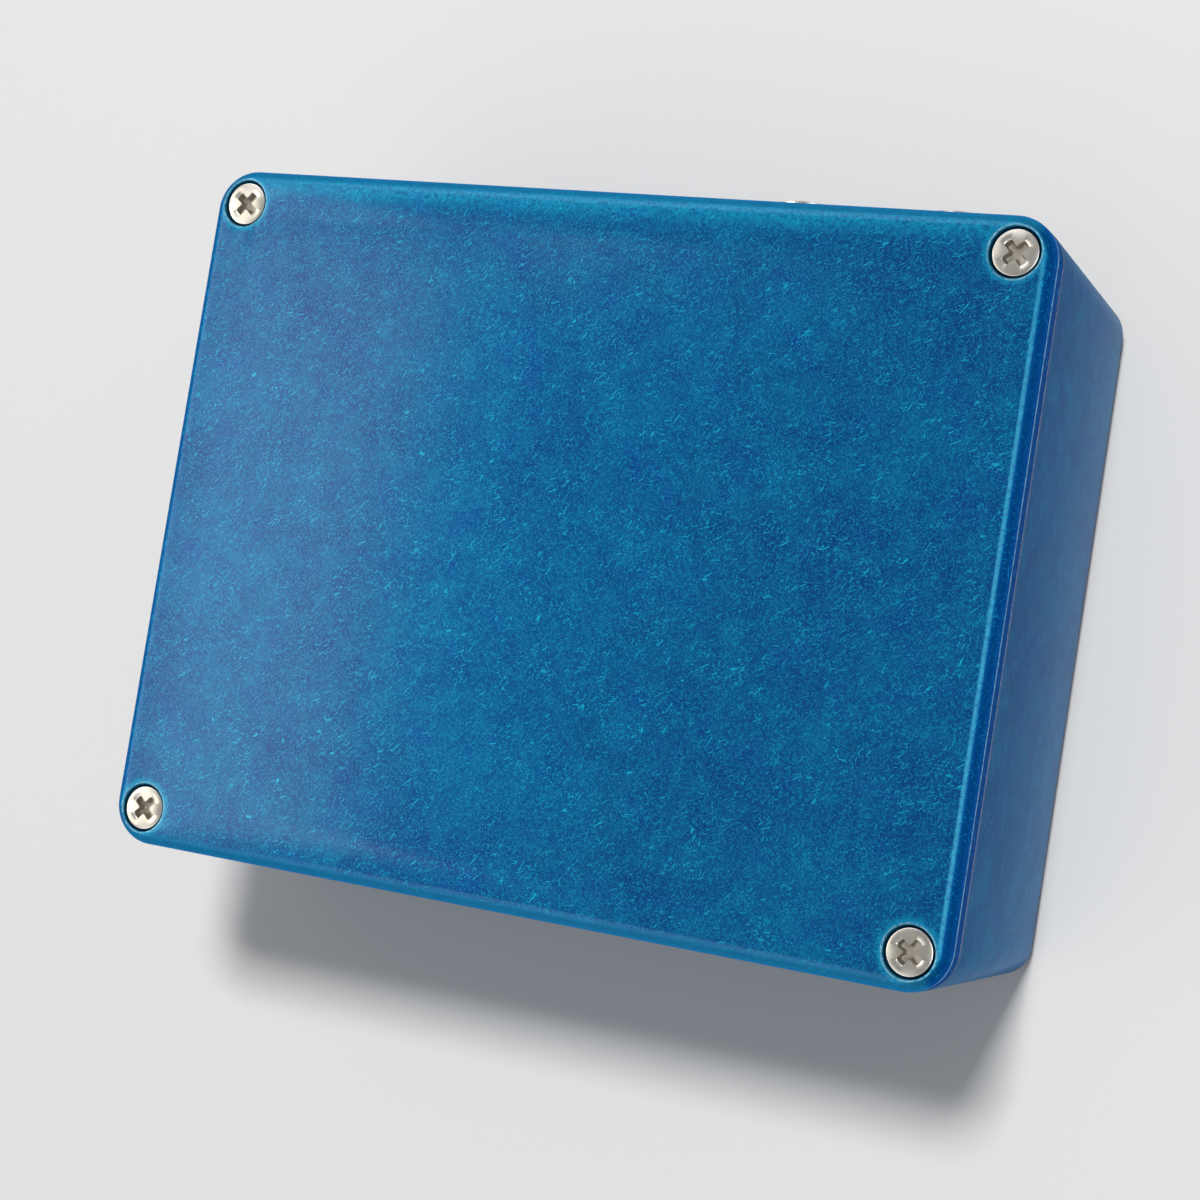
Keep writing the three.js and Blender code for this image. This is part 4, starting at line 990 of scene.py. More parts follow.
def track_group():
    """Copper tracks: parallel lines at a pitch, kept or left out by the cell they run through,
    along X in some cells of a coarser pattern and along Y in the others, with a round via in
    some cells of a third pattern."""
    group, given, out = new_group("tracks", {"Pitch": 0.55, "Block": 5.0}, ["Track", "Via"])
    place = add(group, "ShaderNodeTexCoord").outputs["Object"]
    scaled = add(group, "ShaderNodeVectorMath", {0: place, "Scale": 1 / MM}, operation="SCALE")
    part = add(group, "ShaderNodeSeparateXYZ", {0: scaled.outputs[0]}).outputs
    pitch, block = given.outputs["Pitch"], given.outputs["Block"]
    lines = []
    for across, along in ((0, 1), (1, 0)):
        number = reckon(group, "DIVIDE", part[across], pitch)
        off_line = reckon(group, "ABSOLUTE", reckon(group, "SUBTRACT",
                                                    reckon(group, "FRACT", number), 0.5))
        stretch = reckon(group, "FLOOR", reckon(group, "DIVIDE", part[along], block))
        seat = add(group, "ShaderNodeCombineXYZ", {0: reckon(group, "FLOOR", number), 1: stretch,
                                                   2: float(across)}).outputs[0]
        luck = add(group, "ShaderNodeTexWhiteNoise", {"Vector": seat}).outputs[0]
        line = ramp_of(group, off_line, 0.20, 0.14)
        lines.append(reckon(group, "MULTIPLY", line, reckon(group, "GREATER_THAN", luck, 0.45)))
    flat = add(group, "ShaderNodeCombineXYZ", {0: part[0], 1: part[1]}).outputs[0]
    region = add(group, "ShaderNodeTexVoronoi", {"Vector": flat, "Scale": 0.09},
                 voronoi_dimensions="2D", distance="MANHATTAN")
    split = add(group, "ShaderNodeSeparateColor", {0: region.outputs["Color"]}).outputs
    first = reckon(group, "MULTIPLY", lines[0], reckon(group, "GREATER_THAN", split[0], 0.5))
    second = reckon(group, "MULTIPLY", lines[1], reckon(group, "LESS_THAN", split[0], 0.5))
    group.links.new(reckon(group, "ADD", first, second), out.inputs["Track"])
    dots = add(group, "ShaderNodeTexVoronoi", {"Vector": flat, "Scale": 0.42, "Randomness": 0.8},
               voronoi_dimensions="2D")
    group.links.new(ramp_of(group, dots.outputs["Distance"], 0.12, 0.09), out.inputs["Via"])
    return group


HOLES_MIDDLE_X = sum(x for x, y in FOOT_PLACES) / len(FOOT_PLACES)
HOLES_HALF_X = max(x for x, y in FOOT_PLACES) - HOLES_MIDDLE_X
HOLES_HALF_Y = max(y for x, y in FOOT_PLACES)
MASK_GREEN = (0.006, 0.075, 0.035, 1)
PALE_GREEN = (0.010, 0.11, 0.05, 1)
TRACK_GREEN = (0.035, 0.24, 0.10, 1)
TINNED = (0.72, 0.66, 0.50, 1)


def board_look():
    """Green mask over fibre, lighter over copper, with tinned rings and vias."""
    material = bpy.data.materials.new("green_board")
    material.use_nodes = True
    tree = material.node_tree
    shader = tree.nodes["Principled BSDF"]
    place = add(tree, "ShaderNodeTexCoord").outputs["Object"]
    drawn = use_group(tree, track_group())
    weave = noise_of(tree, place, 1500.0, 2.0, 0.6)
    green = blend_of(tree, weave, MASK_GREEN, PALE_GREEN)
    colour = blend_of(tree, reckon(tree, "MULTIPLY", drawn["Track"], 0.8), green, TRACK_GREEN)
    part = add(tree, "ShaderNodeSeparateXYZ", {0: place}).outputs
    over = [reckon(tree, "SUBTRACT", reckon(tree, "MULTIPLY", part[axis], 1 / MM), middle)
            for axis, middle in enumerate((HOLES_MIDDLE_X, 0.0))]
    x, y = [reckon(tree, "SUBTRACT", reckon(tree, "ABSOLUTE", value), half)
            for value, half in zip(over, (HOLES_HALF_X, HOLES_HALF_Y))]
    away = reckon(tree, "SQRT", reckon(tree, "ADD", reckon(tree, "POWER", x, 2.0),
                                       reckon(tree, "POWER", y, 2.0)))
    ring = ramp_of(tree, away, 3.0, 2.9)
    tin = reckon(tree, "MAXIMUM", ring, drawn["Via"])
    colour = blend_of(tree, tin, colour, TINNED)
    tree.links.new(colour, shader.inputs["Base Color"])
    tree.links.new(tin, shader.inputs["Metallic"])
    tree.links.new(ramp_of(tree, weave, 0.3, 0.7, 0.24, 0.36), shader.inputs["Roughness"])
    height = reckon(tree, "ADD", reckon(tree, "MULTIPLY", weave, 0.25),
                    reckon(tree, "MAXIMUM", drawn["Track"], tin))
    bump = add(tree, "ShaderNodeBump", {"Strength": 0.5, "Distance": 0.00003, "Height": height})
    tree.links.new(bump.outputs[0], shader.inputs["Normal"])
    return material


green_board = board_look()
board_skin().piece("main_board", green_board, "case", "board", "circuit_board")

# ---- Moulded plastics ----
# Glass-filled black for chips and sockets, natural nylon for plugs, each with a fine moulded
# grain and a slightly uneven sheen.


def plastic(name, colour, rough, grain_scale=3000.0, relief=0.25):
    """A moulded plastic: fine grain in its relief and sheen, and faint clouding of its colour."""
    material = bpy.data.materials.new(name)
    material.use_nodes = True
    tree = material.node_tree
    shader = tree.nodes["Principled BSDF"]
    cloud, grain = use_group(tree, cloud_and_grain, Cloud_Scale=300.0, Grain_Scale=grain_scale)
    paler = tuple(min(1, value * 1.35 + 0.006) for value in colour[:3]) + (1,)
    tree.links.new(blend_of(tree, cloud, colour, paler), shader.inputs["Base Color"])
    tree.links.new(ramp_of(tree, grain, 0.3, 0.7, rough - 0.07, rough + 0.1),
                   shader.inputs["Roughness"])
    bump = add(tree, "ShaderNodeBump", {"Strength": relief, "Distance": 0.00003, "Height": grain})
    tree.links.new(bump.outputs[0], shader.inputs["Normal"])
    return material


def block(size, edge=0.1, corner=0.15, steps=3):
    """A block standing on nought, centred in plan, with rounded corners and chamfered rims."""
    skin = Skin()
    width, depth, height = size
    levels = [(edge, 0), (0, edge), (0, height - edge), (edge, height)]
    loops = [skin.loop(rounded_loop(width / 2 - inset, depth / 2 - inset,
                                    max(corner - inset, 0.02), z, steps)) for inset, z in levels]
    skin.wall(loops)
    skin.fill([loops[-1]], (0, 0, 1))
    skin.fill([loops[0]], (0, 0, -1))
    return skin


def node_block(node, edge=0.1, corner=0.15):
    """A chamfered block that fills a CAD node's box."""
    low, high = box_of(node)
    skin = block(high - low, edge, corner)
    return Skin().take(skin, (*((low + high) / 2)[:2], low[2]))


black_mould = plastic("black_moulding", (0.016, 0.016, 0.018, 1), 0.46)
epoxy = plastic("chip_epoxy", (0.020, 0.020, 0.022, 1), 0.52, 5000.0, 0.4)
nylon = plastic("natural_nylon", (0.74, 0.71, 0.60, 1), 0.40)
gold = metal("gold_flash", (0.95, 0.66, 0.22, 1), 0.22, 0.1, 0.15)
tin = metal("bright_tin", (0.72, 0.73, 0.74, 1), 0.24, 0.25, 0.3)

# ---- Chips ----
# Epoxy packages with a moulded dimple by their first pin, tinned legs along two or four sides,
# and a processor whose lid sits on a small green carrier.

PARTS_Z = box_of("memory_chip")[0][2]
LEG_REACH = 0.52
LEG_THICK = 0.16
LEG_INSET = 0.28
CARRIER_THICK = 0.8
LID_WIDTH = 12


def dimpled(size, edge, dimple):
    """A chip package: a chamfered block with a shallow round dimple near one corner."""
    skin = Skin()
    width, depth, height = size
    levels = [(0.12, 0), (0, 0.25), (0.06, height - edge), (0.06 + edge, height)]
    loops = [skin.loop(rounded_loop(width / 2 - inset, depth / 2 - inset, 0.15, z, 2))
             for inset, z in levels]
    skin.wall(loops)
    skin.fill([loops[0]], (0, 0, -1))
    spot = (-width / 2 + 1.3, depth / 2 - 1.3)
    bowl = [skin.loop(circle_loop(spot, radius, z, 20))
            for radius, z in ((dimple, height), (dimple * 0.9, height - 0.06))]
    skin.wall(bowl)
    skin.fill([bowl[1]], (0, 0, 1))
    skin.fill([loops[-1], bowl[0]], (0, 0, 1))
    return skin


legs = Skin()
for node, sides, pitch in (("memory_chip", "y", 0.8), ("network_chip", "xy", 0.5),
                           ("usb_chip", "xy", 0.5), ("power_chip", "xy", 0.65)):
    low, high = box_of(node)
    size = high - low
    middle = (low + high) / 2
    package = Skin().take(dimpled(size - (0.9, 0.9, 0), 0.08, 0.35), (*middle[:2], low[2]))
    package.piece(f"{node}_package", epoxy, "case", "black_plastic", node)
    for axis, letter in ((0, "x"), (1, "y")):
        if letter not in sides:
            continue
        other = 1 - axis
        count = int((size[other] - 1.6) / pitch)
        for side in (-1, 1):
            for step in range(count + 1):
                at = [0, 0, low[2]]
                at[axis] = middle[axis] + side * (size[axis] / 2 - LEG_INSET)
                at[other] = middle[other] + (step - count / 2) * pitch
                leg = [LEG_REACH, LEG_REACH, LEG_THICK]
                leg[other] = pitch * 0.48
                legs.take(block(leg, 0.03, 0.05, 1), at)
legs.piece("chip_legs", tin, "case", "tinplate")

low, high = box_of("processor")
processor_x, processor_y = centre_of("processor")[:2]
carrier = Skin().take(block((*(high - low)[:2], CARRIER_THICK), 0.08, 0.3),
                      (processor_x, processor_y, low[2]))
carrier.piece("processor_carrier", green_board, "case", "board", "processor")
lid = Skin().take(block((LID_WIDTH, LID_WIDTH, high[2] - low[2] - CARRIER_THICK), 0.15, 0.6),
                  (processor_x, processor_y, low[2] + CARRIER_THICK))
lid.piece("processor_lid", epoxy, "case", "black_plastic")

silicone = plastic("grey_silicone", (0.36, 0.40, 0.44, 1), 0.62, 1800.0, 0.5)
node_block("thermal_pad", 0.06, 0.2).piece("silicone_pad", silicone, "case", "grey_pad",
                                           "thermal_pad")

# ---- Heat sink ----
# Extruded aluminium, sawn to length: seven thin fins on a base, with hairline scratches and
# softened tips.

raw_aluminium = metal("extruded_aluminium", (0.66, 0.68, 0.70, 1), 0.34, 0.3, 0.5)
low, high = box_of("heat_sink")
FIN = 1.2
FIN_GAPS = 6
FIN_FOOT = 2.2
sink = Skin()
width, depth, height = high - low
outline = [(-width / 2, 0), (width / 2, 0)]
pitch = (width - FIN) / FIN_GAPS
for fin in range(FIN_GAPS, -1, -1):
    left = -width / 2 + fin * pitch
    outline += [(left + FIN, FIN_FOOT), (left + FIN - 0.12, height - 0.25),
                (left + FIN - 0.35, height), (left + 0.35, height),
                (left + 0.12, height - 0.25), (left, FIN_FOOT)]
    if fin:
        outline += [(left - 0.3, FIN_FOOT - 0.2), (left - pitch + FIN + 0.3, FIN_FOOT - 0.2)]
flat = np.array(outline)
ends = [sink.loop(np.column_stack([flat[:, 0], np.full(len(flat), y), flat[:, 1]]))
        for y in (depth / 2, -depth / 2)]
sink.wall(ends)
sink.fill([ends[0]], (0, 1, 0))
sink.fill([ends[1]], (0, -1, 0))
finned = Skin().take(sink, (*((low + high) / 2)[:2], low[2]))
finned.piece("finned_sink", raw_aluminium, "case", "aluminium", "heat_sink")

# ---- Coil and capacitors ----
# A pressed ferrite coil, an aluminium can capacitor on a black foot, and the small ceramic
# capacitors and resistors that stand round the chips.

ferrite = plastic("pressed_ferrite", (0.055, 0.055, 0.06, 1), 0.58, 2200.0, 0.8)
node_block("power_inductor", 0.35, 0.9).piece("ferrite_coil", ferrite, "case", "black_plastic",
                                              "power_inductor")
x, y, top = middle_top("bulk_capacitor")
low, high = box_of("bulk_capacitor")
radius, height = (high[0] - low[0]) / 2, high[2] - PARTS_Z
can = turned([(0, 0.9), (radius - 0.5, 0.9), (radius - 0.1, 1.2), (radius - 0.1, 1.9),
              (radius - 0.35, 2.15), (radius - 0.1, 2.4), (radius - 0.1, height - 0.45),
              (radius - 0.45, height - 0.05), (radius - 0.9, height),
              (radius - 1.0, height - 0.08), (0, height - 0.08)], 48)
Skin().take(can, (x, y, PARTS_Z)).piece("capacitor_can", raw_aluminium, "case", "aluminium",
                                        "bulk_capacitor")
foot = block((2 * radius, 2 * radius, 1.0), 0.12, 0.7)
Skin().take(foot, (x, y, PARTS_Z)).piece("capacitor_foot", black_mould, "case", "black_plastic")

ceramic = plastic("ceramic", (0.30, 0.20, 0.13, 1), 0.5, 4000.0, 0.3)
bodies, ends = Skin(), Skin()
# each row: its middle, its step, how many parts, and whether they lie along X
PART_ROWS = [((-13.6, 11.8), (1.7, 0), 9, False), ((-5, 24.6), (1.6, 0), 8, False),
             ((-23, 12), (0, 1.6), 5, True), ((-24, -2), (0, 1.5), 6, True),
             ((5.2, 14.6), (0, 1.4), 3, True), ((-36.3, 3.6), (0, 1.5), 5, True),
             ((-16.5, -14.5), (1.8, 0), 12, False), ((0.8, 20), (0, 1.5), 4, True),
             ((-40, -12), (1.9, 0), 8, False), ((12.6, 1.5), (0, 1.6), 5, True),
             ((22.2, -19.9), (1.7, 0), 4, False), ((11.4, 20.6), (1.6, 0), 3, False)]
PART_BODY = (0.6, 0.48, 0.42)
PART_END = (0.24, 0.52, 0.45)
END_SHIFT = 0.38
for (x, y), (step_x, step_y), count, along_x in PART_ROWS:
    order = [0, 1, 2] if along_x else [1, 0, 2]
    for number in range(count):
        past = number - count / 2
        at = np.array([x + past * step_x, y + past * step_y, PARTS_Z])
        bodies.take(block(np.take(PART_BODY, order), 0.03, 0.05, 1), at)
        for side in (-1, 1):
            shift = np.take((side * END_SHIFT, 0.0, 0.0), order)
            ends.take(block(np.take(PART_END, order), 0.04, 0.06, 1), at + shift)
bodies.piece("small_part_bodies", ceramic, "case", "black_plastic")
ends.piece("small_part_ends", tin, "case", "tinplate")

# ---- Pin header ----
# Forty square pins, gold flashed with pointed tips, pressed through a strip of notched black
# blocks.

low, high = box_of("pin_header")
strip, pins = Skin(), Skin()
PIN_PITCH = 2.54
PIN_HALF = 0.32
STRIP_HEIGHT = 2.5
for number in range(20):
    x = low[0] + (number + 0.5) * PIN_PITCH
    y = (low[1] + high[1]) / 2
    strip.take(block((PIN_PITCH - 0.02, 2 * PIN_PITCH, STRIP_HEIGHT), 0.3, 0.7, 1), (x, y, low[2]))
    for side in (-1, 1):
        pin = Skin()
        loops = [pin.loop(rounded_loop(half, half, 0.04, z, 1))
                 for half, z in ((PIN_HALF, 1.0), (PIN_HALF, high[2] - low[2] - 0.5),
                                 (0.14, high[2] - low[2]))]
        pin.wall(loops)
        pin.fill([loops[-1]], (0, 0, 1))
        pin.fill([loops[0]], (0, 0, -1))
        pins.take(pin, (x, y + side * PIN_PITCH / 2, low[2]))
strip.piece("header_strip", black_mould, "case", "black_plastic", "pin_header")
pins.piece("header_pins", gold, "case", "brass")

# ---- Wall sockets ----
# Folded tinplate shields round black mouldings: a network socket, two stacked serial sockets
# and a video socket. Gold springs or strips carry the contacts.


def shield_skin(node):
    """A folded box with a closed back, its open end towards -X, and a lip turned in slightly."""
    low, high = box_of(node)
    length, width, height = high - low
    skin = Skin()
    outside = [(0.15, 0), (0, 0.15), (0, length - 0.1), (0.06, length)]
    inside = [(0.3, length), (0.38, length - 0.1), (0.4, 0.4)]
    outer = [skin.loop(rounded_loop(height / 2 - inset, width / 2 - inset, 0.6, z, 4))
             for inset, z in outside]
    inner = [skin.loop(rounded_loop(height / 2 - inset, width / 2 - inset, 0.4, z, 4))
             for inset, z in inside]
    skin.wall(outer + inner)
    skin.fill([outer[0]], (0, 0, -1))
    skin.fill([inner[-1]], (0, 0, 1))
    middle = (low + high) / 2
    return Skin().take(skin, (high[0], middle[1], middle[2]), "-X")


for node in PORTS:
    shield_skin(node).piece(f"{node}_fold", tin, "case", "tinplate", node)

NETWORK_PITCH = 1.02
SERIAL_PITCH = 2.3
VIDEO_PITCH = 1.0
springs = Skin()
ethernet_low, ethernet_high = box_of("ethernet_shield")
for number in range(8):
    y = (ethernet_low[1] + ethernet_high[1]) / 2 + (number - 3.5) * NETWORK_PITCH
    wire_skin = Skin()
    path = [(1.2, 10.5), (2.0, 10.35), (9.5, 7.6), (9.9, 7.75), (2.0, 10.62), (1.2, 10.62)]
    flat = np.array(path) + [ethernet_low[0], ethernet_low[2]]
    sides = [wire_skin.loop(np.column_stack([flat[:, 0], np.full(len(flat), y + half),
                                             flat[:, 1]])) for half in (0.16, -0.16)]
    wire_skin.wall(sides)
    wire_skin.fill([sides[0]], (0, 1, 0))
    wire_skin.fill([sides[1]], (0, -1, 0))
    springs.take(wire_skin)
usb_low, usb_high = box_of("usb_shield")
for tongue in (3.4, 12.6):
    for number in range(4):
        y = (usb_low[1] + usb_high[1]) / 2 + (number - 1.5) * SERIAL_PITCH
        springs.take(block((9.0, 0.95, 0.14), 0.02, 0.3, 2),
                     (usb_low[0] + 6.2, y, usb_low[2] + tongue - 1.14))
video_low, video_high = box_of("video_shield")
for number in range(10):
    y = (video_low[1] + video_high[1]) / 2 + (number - 4.5) * VIDEO_PITCH
    for z in (2.2, 3.5):
        springs.take(block((6.5, 0.42, 0.12), 0.02, 0.1, 1),
                     (video_low[0] + 5.0, y, video_low[2] + z))
springs.piece("socket_contacts", gold, "case", "brass")

# ---- Clock battery ----
# A rolled steel coin cell with a crimped rim, held in an open black tray under a tin spring.

low, high = box_of("clock_battery")
x, y, top = middle_top("clock_battery")
coin_radius = (high[0] - low[0]) / 2
thick = high[2] - low[2]
coin = turned([(0, 0), (coin_radius - 0.7, 0), (coin_radius - 0.6, 0.08), (coin_radius - 0.6, 0.42),
               (coin_radius - 0.1, 0.42), (coin_radius, 0.55), (coin_radius, thick - 0.35),
               (coin_radius - 0.12, thick - 0.12), (coin_radius - 0.4, thick - 0.03),
               (coin_radius - 0.9, thick - 0.03), (coin_radius - 1.05, thick - 0.09),
               (coin_radius - 1.2, thick), (0, thick)], 96)
steel_sheet = metal("rolled_steel", (0.60, 0.60, 0.59, 1), 0.30, 0.3, 0.4)
Skin().take(coin, (x, y, low[2])).piece("coin_cell", steel_sheet, "case", "steel", "clock_battery")
arm = Skin()
arm.take(block((2.2, 3.0, 0.25), 0.04, 0.4), (x + coin_radius - 1.0, y, top + 0.02))
arm.piece("cell_spring", tin, "case", "tinplate")

# ---- Reset button ----
# A low black switch housing over a snap dome, with a round pale plunger.

x, y, top = middle_top("reset_plunger")
low = box_of("reset_plunger")[0][2]
stem = turned([(0, 0), (1.5, 0), (1.6, 0.1), (1.6, top - low - 0.25), (1.53, top - low - 0.08),
               (1.35, top - low), (0, top - low - 0.06)], 48)
Skin().take(stem, (x, y, low)).piece("plunger", nylon, "reset_plunger", "white_plastic",
                                     "reset_plunger")

# ---- Memory card ----
# A thin black card with one cut corner and a row of gold fingers on its underside.

low, high = box_of("memory_card")
fingers = Skin()
for number in range(8):
    fingers.take(block((2.6, 0.8, 0.03), 0.005, 0.1, 1),
                 (low[0] + 2.2, (low[1] + high[1]) / 2 + (number - 3.5) * 1.1, low[2] - 0.02))
fingers.piece("card_fingers", gold, "memory_card", "brass")

# ---- Power jack ----
# A threaded nickel barrel through the rear wall, with a flat washer and a hexagonal nut outside
# it, a black insulator in its bore and a round centre pin.

nickel = metal("nickel_plate", (0.78, 0.75, 0.70, 1), 0.25, 0.12, 0.25)
jack_x, jack_z = centre_of("power_jack_pin")[[0, 2]]
bushing_low, bushing_high = box_of("power_jack_bushing")
bushing_foot, jack_end = bushing_low[1], bushing_high[1]


def threaded_tube(flange, radius, bore, foot, shoulder, end, pitch, steps=64):
    """A tube about +Z with a round flange at its foot and a thread from the shoulder to its end."""
    skin = Skin()
    profile = [(bore, end - 0.2), (bore, foot + 0.1), (bore + 0.1, foot), (flange - 0.15, foot),
               (flange, foot + 0.15), (flange, shoulder - 0.15), (flange - 0.15, shoulder),
               (radius - 0.3, shoulder)]
    loops = [skin.loop(circle_loop((0, 0), reach, z, steps)) for reach, z in profile]
    turns = thread(radius, shoulder + 0.2, end - 0.35, pitch, steps)
    loops += [skin.loop(points) for points in turns]
    loops += [skin.loop(circle_loop((0, 0), reach, z, steps))
              for reach, z in ((radius, end - 0.3), (radius, end - 0.12), (radius - 0.12, end),
                               (bore + 0.15, end))]
    skin.wall(loops + [loops[0]])
    return skin


barrel = threaded_tube(6.2, 4.6, 3.9, 0, 3, jack_end - bushing_foot, 0.75)
barrel = Skin().take(barrel, (jack_x, bushing_foot, jack_z), "Y")
barrel.piece("jack_barrel", nickel, "case", "steel", "power_jack_bushing")


def along_rear(node, skin, name, material, slot, body="case"):
    """Sets a piece that was made about +Z on a node's axis along +Y, starting at its low end."""
    low, high = box_of(node)
    place = ((low[0] + high[0]) / 2, low[1], (low[2] + high[2]) / 2)
    Skin().take(skin, place, "Y").piece(name, material, body, slot, node)


def length_along_rear(node):
    """A node's length along Y."""
    low, high = box_of(node)
    return high[1] - low[1]


washer_thick = length_along_rear("power_jack_washer")
washer = turned([(4.9, 0.05), (4.95, 0), (7.3, 0), (7.4, 0.1), (7.4, washer_thick - 0.1),
                 (7.3, washer_thick), (4.95, washer_thick), (4.9, washer_thick - 0.05)], 64)
along_rear("power_jack_washer", washer, "jack_washer", zinc, "steel")
nut = hexagonal(12.4, 0, length_along_rear("power_jack_nut"), 4.75)
along_rear("power_jack_nut", nut, "jack_nut", nickel, "steel")
pin_length = length_along_rear("power_jack_pin")
pin = turned([(0, 0), (1.0, 0), (1.05, 0.1), (1.05, pin_length - 0.7), (0.85, pin_length - 0.2),
              (0.45, pin_length), (0, pin_length)], 32)
along_rear("power_jack_pin", pin, "jack_pin", nickel, "steel")

# ---- Power button ----
# A round metal push button: threaded barrel with a domed bezel outside the wall, a dished cap
# on a spring, a nut inside, and two solder tabs in a black block.

low, high = box_of("power_button_bushing")
button_length = high[1] - low[1]
BEZEL_HEIGHT = 2.2
CAP_BORE = 5.1
wall_face = button_length - BEZEL_HEIGHT
barrel = Skin()
profile = [(4.4, 5.0), (4.4, 0.2), (4.6, 0), (5.6, 0), (5.85, 0.3)]
loops = [barrel.loop(circle_loop((0, 0), reach, z, 64)) for reach, z in profile]
loops += [barrel.loop(points) for points in thread(6.0, 0.5, wall_face - 1.2, 1.0, 64)]
bezel = [(5.7, wall_face - 1.0), (5.7, wall_face), (6.9, wall_face), (7.0, wall_face + 0.1),
         (7.0, wall_face + 1.2), (6.85, wall_face + 1.7), (6.4, wall_face + 2.1),
         (6.1, wall_face + 2.2), (5.3, wall_face + 2.2), (CAP_BORE, wall_face + 2.0),
         (CAP_BORE, 5.0)]
loops += [barrel.loop(circle_loop((0, 0), reach, z, 64)) for reach, z in bezel]
barrel.wall(loops + [loops[0]])
along_rear("power_button_bushing", barrel, "button_barrel", nickel, "steel")
cap_length = length_along_rear("power_button_cap")
push = turned([(0, 0), (1.3, 0), (1.4, 0.1), (1.4, 4.0), (4.7, 4.0), (4.9, 4.2),
               (4.9, cap_length - 0.55), (4.75, cap_length - 0.18), (4.4, cap_length),
               (4.1, cap_length - 0.02), (2.5, cap_length - 0.22), (0, cap_length - 0.3)], 64)
along_rear("power_button_cap", push, "button_cap", nickel, "steel", "power_button_cap")
nut = hexagonal(13.8, 0, length_along_rear("power_button_nut"), 6.15)
along_rear("power_button_nut", nut, "button_nut", zinc, "steel")


def tube(points, radius, steps=16):
    """A round tube along a curve. The cross-section's side direction is carried from point to
    point by taking out its part along the curve."""
    skin = Skin()
    along = np.gradient(points, axis=0)
    along /= np.linalg.norm(along, axis=1)[:, None]
    side = np.cross(along[0], (0.3, 0.5, 0.81))
    turn = np.arange(steps) / steps * 2 * math.pi
    loops = []
    for place, ahead in zip(points, along):
        side = side - ahead * (side @ ahead)
        side /= np.linalg.norm(side)
        up = np.cross(ahead, side)
        ring = place + radius * (np.cos(turn)[:, None] * side + np.sin(turn)[:, None] * up)
        loops.append(skin.loop(ring))
    skin.wall(loops)
    for loop, place, end in ((loops[0], points[0], False), (loops[-1], points[-1], True)):
        middle = skin.loop(place[None, :])[0]
        for first, second in zip(loop, np.roll(loop, -1)):
            skin.faces.append([first, second, middle] if end else [second, first, middle])
    return skin


SPRING_WIRE = 0.33
SPRING_TURNS = 5
low, high = box_of("power_button_spring")
middle = (low + high) / 2
length = high[1] - low[1]
share = np.linspace(0, 1, 36 * SPRING_TURNS + 1)
turn = share * SPRING_TURNS * 2 * math.pi
coil_radius = (high[0] - low[0]) / 2 - SPRING_WIRE
helix = np.stack([middle[0] + coil_radius * np.cos(turn),
                  low[1] + SPRING_WIRE + (length - 2 * SPRING_WIRE) * share,
                  middle[2] + coil_radius * np.sin(turn)], 1)
spring = tube(helix, SPRING_WIRE, 12).piece("return_spring", steel_sheet, "case", "steel",
                                            "power_button_spring")
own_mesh(spring)

# ---- Plugs and leads ----
# Two nylon plugs pressed over headers on the board, with insulated stranded wires crimped into
# them from the jack and from the button.


def ribbed_plug(node, name):
    """A plug housing: a chamfered block with two upright ribs on its long faces."""
    low, high = box_of(node)
    width, depth, height = high - low
    skin = block((width, depth - 0.5, height), 0.25, 0.4)
    for x in (-width / 4, width / 4):
        skin.take(block((0.9, depth, height - 1.2), 0.12, 0.2), (x, 0, 0.6))
    plug = Skin().take(skin, (*((low + high) / 2)[:2], low[2]))
    plug.piece(name, nylon, "case", "white_plastic", node)


ribbed_plug("power_plug", "power_plug_housing")
ribbed_plug("button_plug", "button_plug_housing")


def smooth_route(points, steps=14):
    """Catmull-Rom curve through a list of points, with a point added beyond each end:
    0.5 (2b + (c - a) s + (2a - 5b + 4c - d) s^2 + (3b - a - 3c + d) s^3)."""
    points = np.array(points, float)
    padded = np.vstack([2 * points[0] - points[1], points, 2 * points[-1] - points[-2]])
    share = np.arange(steps)[:, None] / steps
    curve = []
    for a, b, c, d in zip(padded, padded[1:], padded[2:], padded[3:]):
        curve.append(0.5 * (2 * b + (c - a) * share + (2 * a - 5 * b + 4 * c - d) * share ** 2
                            + (3 * b - a - 3 * c + d) * share ** 3))
    return np.vstack(curve + [points[-1:]])


def insulation(name, colour):
    """Soft plastic insulation, a little uneven, with a fine grain."""
    return plastic(name, colour, 0.38, 1500.0, 0.35)


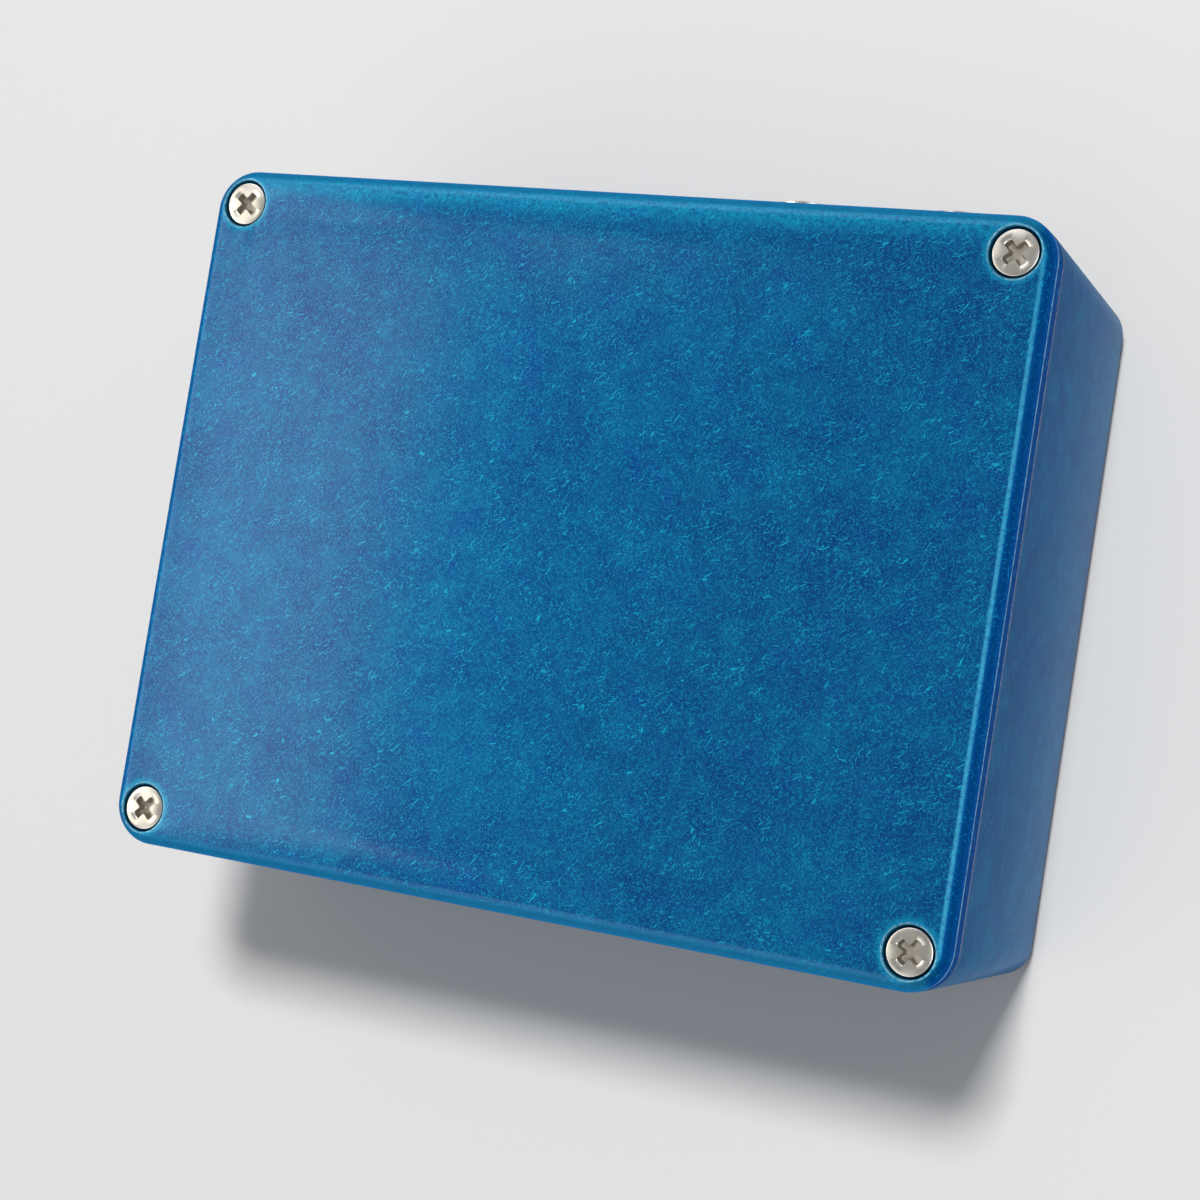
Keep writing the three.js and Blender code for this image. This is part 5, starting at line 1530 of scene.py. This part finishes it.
JACK_BACK = box_of("power_jack_insulator")[0][1]
BUTTON_BACK = box_of("power_button_bushing")[0][1]
WIRE_RADIUS = 0.75
LEAD_RISE = 0.3
RED = (0.42, 0.02, 0.015, 1)
BLACK = (0.02, 0.02, 0.022, 1)
button_x = centre_of("power_button_bushing")[0]
PIN_STEP = 0.7
plug_x, plug_y, plug_top = middle_top("power_plug")
lead_foot = plug_top + LEAD_RISE
power_routes = [
    [(jack_x, JACK_BACK - 2.9, jack_z), (jack_x - 0.2, JACK_BACK - 5, jack_z - 0.4),
     (plug_x + PIN_STEP, plug_y + 0.3, jack_z - 2.4), (plug_x + PIN_STEP, plug_y, lead_foot)],
    [(jack_x - 1.7, JACK_BACK - 2, jack_z + 3.5), (jack_x - 1.9, JACK_BACK - 5, jack_z + 2.6),
     (plug_x - PIN_STEP, plug_y + 0.3, jack_z - 1.4), (plug_x - PIN_STEP, plug_y, lead_foot)]]
red_wires = Skin()
for route in power_routes:
    red_wires.take(tube(smooth_route(route), WIRE_RADIUS))
red_wires.piece("red_wires", insulation("red_insulation", RED), "case", "red_lead", "power_lead")
plug_x, plug_y, plug_top = middle_top("button_plug")
black_wires = Skin()
for side in (-1, 1):
    step = side * PIN_STEP
    route = [(button_x + side * 2, BUTTON_BACK - 5.3, jack_z),
             (button_x - 1 + side * 1.2, BUTTON_BACK - 9, jack_z - 0.4),
             (button_x - 6 + step * 0.8, 17.6 - step * 0.8, jack_z + 0.4),
             (30.8, plug_y - step + 0.4, jack_z - 0.6),
             (plug_x + 0.5, plug_y - step, jack_z - 2.6), (plug_x, plug_y - step, lead_foot)]
    black_wires.take(tube(smooth_route(route), WIRE_RADIUS))
black_wires.piece("black_wires", insulation("black_insulation", BLACK), "case", "black_lead",
                  "button_lead")

# ---- Carried-over CAD pieces ----
# The mouldings, the switch's snap dome, the card and its socket, and the solder tabs keep their
# CAD shape and take their finish here.

CARRIED = {
    black_mould: ["ethernet_socket", "usb_socket", "video_socket", "battery_holder",
                  "reset_switch", "power_jack_insulator", "power_button_contacts"],
    epoxy: ["memory_card"],
    tin: ["card_socket", "power_jack_tab", "power_button_tab_1", "power_button_tab_2"],
    steel_sheet: ["reset_dome"],
}
for look, names in CARRIED.items():
    for name in names:
        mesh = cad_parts[name].data
        mesh.materials.clear()
        mesh.materials.append(look)
